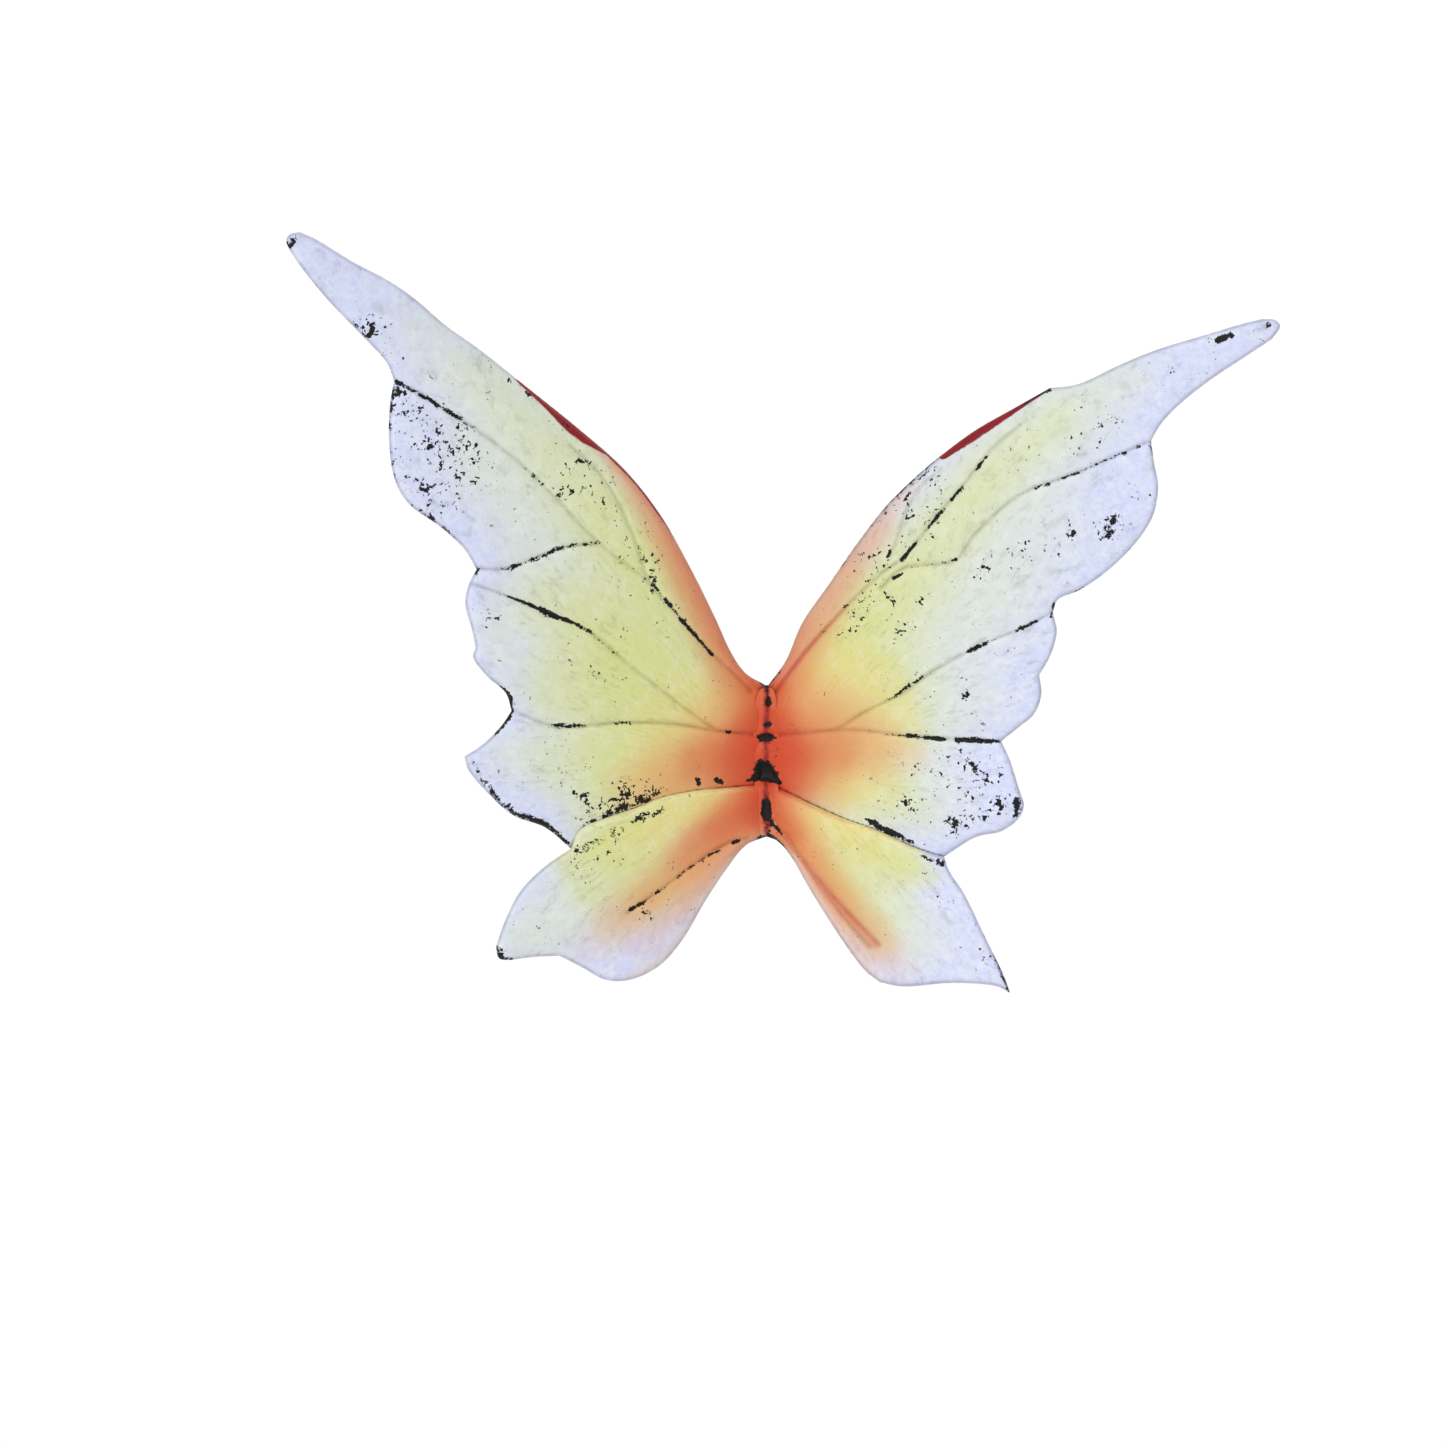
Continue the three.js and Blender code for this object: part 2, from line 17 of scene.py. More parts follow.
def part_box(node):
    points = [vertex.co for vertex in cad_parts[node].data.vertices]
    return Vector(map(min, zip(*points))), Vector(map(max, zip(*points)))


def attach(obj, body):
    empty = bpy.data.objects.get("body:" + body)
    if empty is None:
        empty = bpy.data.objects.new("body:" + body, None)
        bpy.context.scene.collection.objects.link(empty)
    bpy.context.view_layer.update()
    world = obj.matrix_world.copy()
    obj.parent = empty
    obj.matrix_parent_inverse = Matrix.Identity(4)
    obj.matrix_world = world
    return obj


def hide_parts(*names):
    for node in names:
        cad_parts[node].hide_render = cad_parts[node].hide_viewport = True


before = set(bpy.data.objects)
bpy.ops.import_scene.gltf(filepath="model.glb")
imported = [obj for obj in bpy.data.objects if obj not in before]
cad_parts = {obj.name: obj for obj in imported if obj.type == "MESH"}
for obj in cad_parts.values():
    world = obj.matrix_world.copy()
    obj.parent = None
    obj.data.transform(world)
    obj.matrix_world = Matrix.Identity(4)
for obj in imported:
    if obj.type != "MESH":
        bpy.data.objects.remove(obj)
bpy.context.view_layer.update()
MM = 0.001

# ==============================================================================================
# Root block
# The boss between the wings and the figure's back: cast resin, painted crimson before it is glued,
# with its flat glue face sanded bare. Its edges are soft from the rubber mould.
# ==============================================================================================


class Signal:
    """A node's output. + - * / with a number or another output add the math node they stand for."""

    def __init__(self, wiring, socket):
        self.wiring, self.socket = wiring, socket

    def __add__(self, other):
        return self.wiring.math("ADD", self, other)

    def __sub__(self, other):
        return self.wiring.math("SUBTRACT", self, other)

    def __rsub__(self, other):
        return self.wiring.math("SUBTRACT", other, self)

    def __mul__(self, other):
        return self.wiring.math("MULTIPLY", self, other)

    def __truediv__(self, other):
        return self.wiring.math("DIVIDE", self, other)

    __radd__, __rmul__ = __add__, __mul__


class Wiring:
    """Adds nodes to a tree. Any input takes a number, a colour or another node's output."""

    def __init__(self, tree):
        self.tree = tree

    def plug(self, socket, value):
        if isinstance(value, Signal):
            self.tree.links.new(value.socket, socket)
        else:
            socket.default_value = value

    def feed(self, node, inputs):
        for name, value in inputs.items():
            self.plug(node.inputs[name], value)

    def add(self, kind, inputs, **settings):
        node = self.tree.nodes.new(kind)
        for name, value in settings.items():
            setattr(node, name, value)
        self.feed(node, inputs)
        return node

    def out(self, kind, inputs, output=0, **settings):
        """One output of a new node."""
        return Signal(self, self.add(kind, inputs, **settings).outputs[output])

    def all_out(self, node):
        """All outputs of a node, by name."""
        return {socket.name: Signal(self, socket) for socket in node.outputs}

    def math(self, operation, *values, clamp=False):
        return self.out("ShaderNodeMath", dict(enumerate(values)), operation=operation, use_clamp=clamp)

    def fade(self, value, start, end, low=0.0, high=1.0):
        """low below start, high past end, and a smooth change between them."""
        inputs = {"Value": value, "From Min": start, "From Max": end, "To Min": low, "To Max": high}
        return self.out("ShaderNodeMapRange", inputs, interpolation_type="SMOOTHSTEP")

    def mix(self, share, first, second, blend="MIX"):
        inputs = {0: share, 6: first, 7: second}
        return self.out("ShaderNodeMix", inputs, 2, data_type="RGBA", blend_type=blend, clamp_factor=True)

    def noise(self, vector, scale, detail=3.0, rough=0.5, distortion=0.0, stretch=None):
        if stretch is not None:
            vector = self.out("ShaderNodeMapping", {"Vector": vector, "Scale": stretch})
        inputs = {"Vector": vector, "Scale": scale, "Detail": detail, "Roughness": rough}
        return self.out("ShaderNodeTexNoise", {**inputs, "Distortion": distortion})

    def field(self, name):
        return self.out("ShaderNodeAttribute", {}, "Fac", attribute_name=name)

    def scaled(self, vector, factor):
        return self.out("ShaderNodeVectorMath", {0: vector, "Scale": factor}, operation="SCALE")

    def millimetres(self):
        """Object coordinates in millimetres."""
        place = self.out("ShaderNodeTexCoord", {}, "Object")
        return self.out("ShaderNodeMapping", {"Vector": place, "Scale": (1 / MM,) * 3})

    def split(self, vector):
        return self.all_out(self.add("ShaderNodeSeparateXYZ", {"Vector": vector})).values()


def shade(red, green, blue):
    """A paint colour as mixed on the card, 0 to 255, in linear light."""
    linear = []
    for level in (red, green, blue):
        level /= 255
        linear.append(level / 12.92 if level < 0.04045 else ((level + 0.055) / 1.055) ** 2.4)
    return (*linear, 1.0)


def finish_material(name):
    """A new material: its wiring and its surface shader."""
    material = bpy.data.materials.new(name)
    material.use_nodes = True
    return material, Wiring(material.node_tree), material.node_tree.nodes["Principled BSDF"]


NUMBER, VECTOR, SHAPE = "NodeSocketFloat", "NodeSocketVector", "NodeSocketGeometry"


def node_tree(kind, name, inputs, outputs):
    """A node tree with named inputs and outputs: its wiring, its inputs, its end and input keys."""
    tree = bpy.data.node_groups.new(name, kind)
    keys = {}
    for label, sort, value in inputs:
        socket = tree.interface.new_socket(label, in_out="INPUT", socket_type=sort)
        if value is not None:
            socket.default_value = value
        keys[label] = socket.identifier
    for label, sort in outputs:
        tree.interface.new_socket(label, in_out="OUTPUT", socket_type=sort)
    wiring = Wiring(tree)
    return wiring, wiring.all_out(tree.nodes.new("NodeGroupInput")), tree.nodes.new("NodeGroupOutput"), keys


def use(wiring, group, **inputs):
    """Puts a shader node group into a material and gives its outputs by name."""
    named = {label.replace("_", " "): value for label, value in inputs.items()}
    return wiring.all_out(wiring.add("ShaderNodeGroup", named, node_tree=group.tree))


# Cast grain: faint mottling of the paint film and the bumps under it, from dust and mould release
grain, given, end, _ = node_tree(
    "ShaderNodeTree",
    "cast_grain",
    [("Place", VECTOR, None), ("Grains per mm", NUMBER, 3.0), ("Depth", NUMBER, 0.02)],
    [("Mottle", NUMBER), ("Normal", VECTOR)],
)
coarse = grain.noise(given["Place"], given["Grains per mm"], 4.0, 0.6)
fine = grain.noise(given["Place"], given["Grains per mm"] * 4.0, 2.0, 0.6)
relief = {"Strength": 1.0, "Distance": given["Depth"] * MM, "Height": coarse + fine * 0.5}
grain.feed(end, {"Mottle": coarse, "Normal": grain.out("ShaderNodeBump", relief)})


def link(name, data):
    """Puts new data into the scene."""
    piece = bpy.data.objects.new(name, data)
    bpy.context.scene.collection.objects.link(piece)
    return piece


def settle(piece):
    """Turns a piece and its modifiers into a plain, smooth-shaded mesh."""
    bpy.context.view_layer.update()
    evaluated = piece.evaluated_get(bpy.context.evaluated_depsgraph_get())
    mesh = bpy.data.meshes.new_from_object(evaluated)
    piece.modifiers.clear()
    piece.data = mesh
    mesh.shade_smooth()


BARE_RESIN, SCRATCHED_RESIN = shade(226, 220, 206), shade(196, 188, 172)
DEEP_CRIMSON, THIN_CRIMSON = shade(120, 20, 18), shade(176, 44, 32)
BLOCK_VOXEL = 0.14
BLOCK_SMOOTHING = 5
SANDED_DEPTH = 0.08  # how far from the glue face the paint is sanded away
SANDED_UNEVENNESS = 0.16

block = link("root_boss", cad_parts["root_block"].data.copy())
block.data.materials.clear()
remesh = block.modifiers.new("mould", "REMESH")
remesh.mode = "VOXEL"
remesh.voxel_size = BLOCK_VOXEL * MM
soften = block.modifiers.new("soft edges", "SMOOTH")
soften.factor = 0.5
soften.iterations = BLOCK_SMOOTHING
settle(block)

block_paint, wiring, surface = finish_material("crimson_on_cast_resin")
place = wiring.millimetres()
grained = use(wiring, grain, Place=place, Grains_per_mm=2.5, Depth=0.03)
_, depth, _ = wiring.split(place)
painted = wiring.fade(depth * -1.0 + grained["Mottle"] * -SANDED_UNEVENNESS, 0.0, SANDED_DEPTH)
scratches = wiring.noise(place, 3.0, 2.0, 0.5, stretch=(8.0, 1.0, 0.7))
sanded = wiring.mix(wiring.fade(scratches, 0.4, 0.7), BARE_RESIN, SCRATCHED_RESIN)
crimson = wiring.mix(wiring.fade(grained["Mottle"], 0.35, 0.7), DEEP_CRIMSON, THIN_CRIMSON)
block_looks = {
    "Base Color": wiring.mix(painted, sanded, crimson),
    "Roughness": wiring.fade(painted, 0.0, 1.0, 0.85, 0.5),
    "Normal": grained["Normal"],
}
wiring.feed(surface, block_looks)
block.data.materials.append(block_paint)
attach(block, "root")
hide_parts("root_block")

# ==============================================================================================
# Mounting pins
# Two lengths of drawn steel, chamfered at both ends, glued into the block and left standing out to
# enter the figure's back. Shallow rings turned into the free end give the epoxy a key.
# ==============================================================================================

PIN_RADIUS = 0.8
PIN_CHAMFER = 0.3
PIN_SIDES = 48
RING_FROM, RING_TO = 1.0, 4.0
RING_PITCH = 0.5
RING_DEPTH = 0.07


def lathe(name, profile, sides, ends=2):
    """Turns [radius, along] pairs about the Y axis. The first, and for two ends the last, lie on it."""
    rings = profile[1:-1] if ends == 2 else profile[1:]
    points = [(0.0, profile[0][1], 0.0)]
    for radius, along in rings:
        for k in range(sides):
            angle = 2 * math.pi * k / sides
            points.append((radius * math.cos(angle), along, radius * math.sin(angle)))
    faces = []
    for k in range(sides):
        after = (k + 1) % sides
        faces.append((0, 1 + after, 1 + k))
        for ring in range(len(rings) - 1):
            start = 1 + ring * sides
            faces.append((start + k, start + after, start + sides + after, start + sides + k))
        if ends == 2:
            start = 1 + (len(rings) - 1) * sides
            faces.append((start + k, start + after, len(points)))
    if ends == 2:
        points.append((0.0, profile[-1][1], 0.0))
    mesh = bpy.data.meshes.new(name)
    mesh.from_pydata([Vector(p) * MM for p in points], [], faces)
    mesh.validate()
    return mesh


def face_outwards(mesh):
    """Recalculates a closed mesh's normals so that they point away from its inside."""
    work = bmesh.new()
    work.from_mesh(mesh)
    bmesh.ops.recalc_face_normals(work, faces=work.faces)
    work.to_mesh(mesh)
    work.free()


pin_steel, wiring, surface = finish_material("drawn_steel")
drawn = wiring.noise(wiring.millimetres(), 6.0, 3.0, 0.6, stretch=(6.0, 0.5, 6.0))
steel_colour = wiring.mix(drawn, shade(168, 168, 170), shade(206, 207, 210))
steel_sheen = wiring.fade(drawn, 0.3, 0.7, 0.24, 0.4)
wiring.feed(surface, {"Base Color": steel_colour, "Metallic": 1.0, "Roughness": steel_sheen})

for name in ("upper_mounting_pin", "lower_mounting_pin"):
    low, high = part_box(name)
    inner, outer = low[1] / MM, high[1] / MM
    profile = [(0.0, inner), (PIN_RADIUS - PIN_CHAMFER, inner), (PIN_RADIUS, inner + PIN_CHAMFER)]
    for k in range(int((RING_TO - RING_FROM) / RING_PITCH)):
        start = RING_FROM + k * RING_PITCH
        profile.append((PIN_RADIUS, start))
        profile.append((PIN_RADIUS - RING_DEPTH, start + RING_PITCH / 4))
        profile.append((PIN_RADIUS, start + RING_PITCH / 2))
    profile += [(PIN_RADIUS, outer - PIN_CHAMFER), (PIN_RADIUS - PIN_CHAMFER, outer), (0.0, outer)]
    mesh = lathe(name + "_steel", profile, PIN_SIDES)
    mesh.transform(Matrix.Translation((0, 0, (low[2] + high[2]) / 2)))
    face_outwards(mesh)
    mesh.shade_smooth()
    pin = link(name + "_steel", mesh)
    pin.data.materials.append(pin_steel)
    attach(pin, "root")
    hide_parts(name)

# ==============================================================================================
# Stiffening wires
# Four lengths of annealed black iron wire, laid in the moulds before the resin is poured. Each runs
# straight out of its tenon, bends once inside the casting and follows the thick part of the wing.
# ==============================================================================================

# Lie of the castings, as in the frame: how far behind the glue face their middle is at the seam, how
# they lean away from the figure, how that lean fades outwards, and how top and bottom curl back
ROOT_DEPTH = 6.0
SWEEP = math.tan(math.radians(24))
FLATTENING = 0.002
CUPPING = 0.001
HINDWING_OFFSET = 1.1  # from the middle of a forewing to the middle of the hindwing behind it

TENON_OFFSET = 2.6  # from the seam to the middle of a tenon
FOREWING_TENON = 3.7
HINDWING_TENON = -4.9
WIRE_END = -1.7
WIRE_RADIUS = 0.4
WIRE_BEND = 0.8
WIRE_SIDES = 16
WIRE_SMOOTHNESS = 6  # pieces in each stretch of its curve


def middle(x, z):
    """Where the middle of a forewing casting lies along Y. Works for single numbers and arrays."""
    out = abs(x)
    return -(ROOT_DEPTH + SWEEP * out - FLATTENING * out * out + CUPPING * z * z)


iron, wiring, surface = finish_material("annealed_iron")
scale = wiring.noise(wiring.millimetres(), 4.0, 4.0, 0.6)
iron_colour = wiring.mix(scale, shade(74, 70, 68), shade(112, 106, 102))
iron_sheen = wiring.fade(scale, 0.3, 0.7, 0.4, 0.62)
wiring.feed(surface, {"Base Color": iron_colour, "Metallic": 0.9, "Roughness": iron_sheen})


def deliver(wiring, end, shape, material):
    """Ends a Geometry Nodes tree."""
    real = wiring.out("GeometryNodeRealizeInstances", {"Geometry": shape})
    coated = wiring.out("GeometryNodeSetMaterial", {"Geometry": real, "Material": material})
    wiring.feed(end, {"Geometry": coated})


def shape_with(wiring, keys, piece, settings):
    """Runs a Geometry Nodes tree over a piece, and keeps the outcome as its mesh."""
    modifier = piece.modifiers.new(wiring.tree.name, "NODES")
    modifier.node_group = wiring.tree
    for label, value in settings.items():
        modifier[keys[label]] = value
    settle(piece)


drawing, given, end, drawing_keys = node_tree(
    "GeometryNodeTree",
    "drawn_wire",
    [
        ("Geometry", SHAPE, None),
        ("Radius", NUMBER, None),
        ("Sides", "NodeSocketInt", None),
        ("Material", "NodeSocketMaterial", None),
    ],
    [("Geometry", SHAPE)],
)
route = drawing.out("GeometryNodeMeshToCurve", {"Mesh": given["Geometry"]})
route = drawing.out("GeometryNodeCurveSplineType", {"Curve": route}, spline_type="CATMULL_ROM")
route = drawing.out("GeometryNodeSetSplineResolution", {0: route, 2: WIRE_SMOOTHNESS})
ring = {"Resolution": given["Sides"], "Radius": given["Radius"]}
around = drawing.out("GeometryNodeCurvePrimitiveCircle", ring, mode="RADIUS")
swept = drawing.out("GeometryNodeCurveToMesh", {0: route, 1: around, "Fill Caps": True})
deliver(drawing, end, swept, given["Material"])

# Each run lies along the middle of its casting: the height of its tenon, the offset of the casting
# behind the forewings' middle, and the points it passes through
WIRE_RUNS = {
    "left_forewing_wire": (
        FOREWING_TENON, 0.0, [(-3.6, 8.6), (-5.9, 12.9), (-8.7, 17.9), (-12.3, 23.4), (-16.5, 28.6)],
    ),
    "right_forewing_wire": (
        FOREWING_TENON, 0.0, [(3.2, 8.6), (5.3, 13.6), (8.6, 18.2), (12.7, 22.8), (17.6, 27.8)],
    ),
    "left_hindwing_wire": (
        HINDWING_TENON, HINDWING_OFFSET, [(-5.2, -6.4), (-8.8, -9.2), (-13.2, -11.8), (-18.0, -14.4)],
    ),
    "right_hindwing_wire": (
        HINDWING_TENON, HINDWING_OFFSET, [(5.4, -7.2), (9.0, -10.8), (13.2, -14.4), (17.6, -17.4)],
    ),
}
for name, (rise, offset, run) in WIRE_RUNS.items():
    outward = [Vector((x, middle(x, z) - offset, z)) for x, z in run]
    start = math.copysign(TENON_OFFSET, run[0][0])
    corner = Vector((start, middle(start, rise) - offset, rise))
    away = (outward[0] - corner).normalized()
    back = Vector((0, 1, 0))
    rounding = WIRE_BEND * (1 - math.sqrt(0.5))
    bend = [corner + back * 2 * WIRE_BEND, corner + back * WIRE_BEND, corner + (back + away) * rounding]
    bend += [corner + away * WIRE_BEND, corner + away * 2 * WIRE_BEND]
    points = [Vector((start, WIRE_END, rise)), *bend, *outward]
    mesh = bpy.data.meshes.new(name + "_iron")
    mesh.from_pydata([point * MM for point in points], [(k, k + 1) for k in range(len(points) - 1)], [])
    wire = link(name + "_iron", mesh)
    settings = {"Radius": WIRE_RADIUS * MM, "Sides": WIRE_SIDES, "Material": iron}
    shape_with(drawing, drawing_keys, wire, settings)
    face_outwards(wire.data)
    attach(wire, "root")
    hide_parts(name)

# ==============================================================================================
# Forewings
# The two long upper castings in cream polyresin, carved freehand, so each side has its own outline
# and veins. Engraved lines part the swollen panels. Airbrushed from the root outwards over a pale
# lavender coat, then washed with black that stays in the lines, and dry-brushed.
# ==============================================================================================

FOREWING_HALF = 1.2  # half the casting's thickness at the seam
TIP_THINNING = 0.013  # taken off that half with each millimetre outwards
THINNEST_HALF = 0.5
LAP_WIDTH = 2.6  # how far a forewing runs on under the hindwing that laps it
TONGUE = 0.5  # the same over the root block
BLOCK_EDGE = 5.0  # nearer to the seam than this, the hindwing fills the whole thickness
LAP_FLOOR = 0.12  # where the lapped edge's back lies, from the forewing's middle
LAP_CLEARANCE = 0.05  # how far below the lap line the step down to it starts
FRONT_RELIEF = 0.55  # how deep the front is carved, against the back

FINENESS = 0.19  # spacing of the points on a painted face
RIM_STEP = 0.2
VEIN_STEP = 0.3
STROKE_STEP = 1.0
GUIDE_STEP = 0.5
RIM_CLEARANCE = 0.55  # no inner point is nearer to the rim than this share of the spacing


def smooth(points, step):
    """A smooth line through the given points, in nearly even steps. Further columns are carried along."""
    points = np.array(points, float)
    before = np.vstack([2 * points[0] - points[1], points[:-1]])
    after = np.vstack([points[1:], 2 * points[-1] - points[-2]])
    line = []
    for a, b, c, d in zip(before[:-1], points[:-1], points[1:], after[1:]):
        count = max(1, round(float(np.hypot(*(c - b)[:2])) / step))
        for k in range(count):
            t = k / count
            line.append(
                b
                + 0.5 * t * (c - a)
                + t * t * (a - 2.5 * b + 2 * c - 0.5 * d)
                + t * t * t * (1.5 * b - 0.5 * a - 1.5 * c + 0.5 * d)
            )
    line.append(points[-1])
    return np.array(line)


def straight(points, step):
    """A line with corners through the points, in nearly even steps."""
    points = np.array(points, float)
    gaps = np.hypot(*np.diff(points, axis=0).T)
    along = np.concatenate([[0], np.cumsum(gaps)])
    count = max(1, round(along[-1] / step))
    places = np.unique(np.concatenate([along, np.linspace(0, along[-1], count + 1)]))
    return np.stack([np.interp(places, along, points[:, k]) for k in range(2)], 1)


def closed(*paths):
    """One closed outline from paths that meet end to end."""
    line = np.vstack(paths)
    apart = np.hypot(*(line - np.roll(line, 1, 0)).T) > RIM_STEP / 4
    return line[apart]


def inside(points, outline):
    result = np.zeros(len(points), bool)
    for (x1, z1), (x2, z2) in zip(outline, np.roll(outline, -1, 0)):
        if z1 != z2:
            crosses = (z1 > points[:, 1]) != (z2 > points[:, 1])
            result ^= crosses & (points[:, 0] < x1 + (x2 - x1) * (points[:, 1] - z1) / (z2 - z1))
    return result


def distance(points, line):
    """Distance from each point to a line, and how far along the line, in points, the nearest lies."""
    nearest = np.full(len(points), np.inf)
    where = np.zeros(len(points))
    for k, (a, b) in enumerate(zip(line[:-1, :2], line[1:, :2])):
        along = b - a
        share = np.clip((points - a) @ along / max(along @ along, 1e-12), 0, 1)
        gap = np.hypot(*(points - a - share[:, None] * along).T)
        closer = gap < nearest
        nearest[closer] = gap[closer]
        where[closer] = k + share[closer]
    return nearest, where


def airbrush(points, strokes, spread=1.0):
    """Cover left by soft strokes. Each stroke is a list of [x, z, radius, strength]."""
    clear = np.ones(len(points))
    for stroke in strokes:
        line = smooth(stroke, STROKE_STEP)
        gap, where = distance(points, line)
        radius = np.interp(where, range(len(line)), line[:, 2]) * spread
        strength = np.interp(where, range(len(line)), line[:, 3])
        soft = np.clip(1 - (gap / radius) ** 2, 0, 1) ** 2
        clear *= 1 - np.clip(strength, 0, 1) * soft
    return 1 - clear


def sheet(name, outline):
    """A flat two-sided sheet on the XZ plane, its points, and their layer: 1 behind, -1 in front."""
    low, high = outline.min(0), outline.max(0)
    xs = np.arange(low[0], high[0], FINENESS)
    zs = np.arange(low[1], high[1], FINENESS * math.sqrt(0.75))
    x, z = np.meshgrid(xs, zs)
    x[1::2] += FINENESS / 2
    grid = np.stack([x.ravel(), z.ravel()], 1)
    grid = grid[inside(grid, outline)]
    loop = np.vstack([outline, outline[:1]])
    grid = grid[distance(grid, loop)[0] > FINENESS * RIM_CLEARANCE]
    points = [Vector(p) for p in np.vstack([outline, grid])]
    count = len(outline)
    edges = [(k, (k + 1) % count) for k in range(count)]
    triangulated = geometry.delaunay_2d_cdt(points, edges, [], 1, 1e-6)
    flat = np.array([tuple(p) for p in triangulated[0]])
    faces = np.array(triangulated[2])
    all_edges = np.sort(np.vstack([faces[:, [0, 1]], faces[:, [1, 2]], faces[:, [2, 0]]]), 1)
    edges, uses = np.unique(all_edges, axis=0, return_counts=True)
    rim = {tuple(edge) for edge in edges[uses == 1]}
    a, b, c = flat[faces[:, 0]], flat[faces[:, 1]], flat[faces[:, 2]]
    turn = (b - a)[:, 0] * (c - a)[:, 1] - (b - a)[:, 1] * (c - a)[:, 0]
    faces[turn < 0] = faces[turn < 0][:, ::-1]
    total = len(flat)
    walls = []
    for i, j in np.vstack([faces[:, [0, 1]], faces[:, [1, 2]], faces[:, [2, 0]]]):
        if (min(i, j), max(i, j)) in rim:
            walls.append((j, i, i + total, j + total))
    back = [tuple(face) for face in faces]
    front = [tuple(face[::-1] + total) for face in faces]
    points = np.vstack([flat, flat])
    mesh = bpy.data.meshes.new(name)
    mesh.from_pydata([(x * MM, 0.0, z * MM) for x, z in points], [], back + front + walls)
    return mesh, points, np.repeat([1.0, -1.0], total)


def keep(mesh, name, values):
    attribute = mesh.attributes.new(name, "FLOAT", "POINT")
    attribute.data.foreach_set("value", np.asarray(values, np.float32))


def lines(name, runs):
    """A guide of bare edges on the XZ plane, for the relief to measure from."""
    vertices, edges = [], []
    for run in runs:
        start = len(vertices)
        vertices += [(x * MM, 0.0, z * MM) for x, z in run[:, :2]]
        edges += [(start + k, start + k + 1) for k in range(len(run) - 1)]
    mesh = bpy.data.meshes.new(name)
    mesh.from_pydata(vertices, edges, [])
    return link(name, mesh)


# Relief: bends a flat sheet into a carved casting. Every size is an input, in millimetres.
carving, given, end, carving_keys = node_tree(
    "GeometryNodeTree",
    "wing_relief",
    [
        ("Geometry", SHAPE, None),
        ("Veins", "NodeSocketObject", None),
        ("Rim", "NodeSocketObject", None),
        ("Leading edge", "NodeSocketObject", None),
        ("Paint", "NodeSocketMaterial", None),
        ("Root depth", NUMBER, ROOT_DEPTH),
        ("Sweep", NUMBER, SWEEP),
        ("Flattening", NUMBER, FLATTENING),
        ("Cupping", NUMBER, CUPPING),
        ("Offset", NUMBER, 0.0),
        ("Half thickness", NUMBER, FOREWING_HALF),
        ("Tip thinning", NUMBER, TIP_THINNING),
        ("Thinnest half", NUMBER, THINNEST_HALF),
        ("Groove width", NUMBER, 0.2),
        ("Groove depth", NUMBER, 0.26),
        ("Panel swell", NUMBER, 0.3),
        ("Swell reach", NUMBER, 1.5),
        ("Rim radius", NUMBER, 0.75),
        ("Rim flat", NUMBER, 0.3),
        ("Edge roll", NUMBER, 0.7),
        ("Edge roll reach", NUMBER, 3.4),
        ("Unevenness", NUMBER, 0.16),
        ("Tool marks", NUMBER, 0.03),
        ("Lap floor", NUMBER, LAP_FLOOR),
        ("Front relief", NUMBER, FRONT_RELIEF),
        ("Seed", NUMBER, 0.0),
    ],
    [("Geometry", SHAPE)],
)
place = carving.scaled(carving.out("GeometryNodeInputPosition", {}), 1 / MM)
x, _, z = carving.split(place)
out = carving.math("ABSOLUTE", x)


def stored(name):
    return carving.out("GeometryNodeInputNamedAttribute", {"Name": name}, data_type="FLOAT")


def reach(label):
    """Distance in millimetres to the guide given as an input."""
    guide = carving.out("GeometryNodeObjectInfo", {"Object": given[label]}, "Geometry")
    return carving.out("GeometryNodeProximity", {0: guide}, "Distance", target_element="EDGES") / MM


vein, rim = reach("Veins"), reach("Rim")

# The casting's middle: swept, cupped, and rolled up along the leading edge
lean = out * (given["Sweep"] - given["Flattening"] * out)
curl = given["Cupping"] * (z * z)
rolled = carving.fade(reach("Leading edge"), 0.0, given["Edge roll reach"], given["Edge roll"], 0.0)
core = rolled - (given["Root depth"] + given["Offset"] + (lean + curl))

# Half its thickness, less at the tip and rounded off at the rim
half = given["Half thickness"] - given["Tip thinning"] * out
half = carving.math("MAXIMUM", half, given["Thinnest half"])
short = 1.0 - carving.math("MINIMUM", rim / given["Rim radius"], 1.0)
round_off = carving.math("SQRT", 1.0 - short * short)
rounded = given["Rim flat"] + round_off * (1.0 - given["Rim flat"])

# Engraved lines that vary in depth, panels that swell between them, unevenness and tool marks
seeded = carving.out("ShaderNodeVectorMath", {0: place, 1: given["Seed"]}, operation="ADD")
carried = vein / given["Groove width"]
wobble = carving.fade(carving.noise(seeded, 0.7, 2.0, 0.5), 0.3, 0.65, 0.45, 1.15)
cut = carving.math("EXPONENT", carried * carried * -1.0) * (given["Groove depth"] * wobble)
swell_fall = carving.math("MINIMUM", vein, rim) / (given["Swell reach"] * -1.0)
swollen = (1.0 - carving.math("EXPONENT", swell_fall)) * given["Panel swell"]
drift = (carving.noise(seeded, 0.22, 2.0, 0.5) - 0.5) * given["Unevenness"]
drift += (carving.noise(seeded, 1.6, 2.0, 0.6) - 0.5) * given["Tool marks"]

layer = stored("layer")
behind = carving.math("GREATER_THAN", layer, 0.0)
carved = (swollen - cut + drift) * (given["Front relief"] + behind * (1.0 - given["Front relief"]))
side_half = half * rounded + carved * round_off + stored("pad") * (1.0 - behind)
lapped = stored("lap") * behind
level = (core - layer * side_half) * (1.0 - lapped) + (core + given["Lap floor"]) * lapped

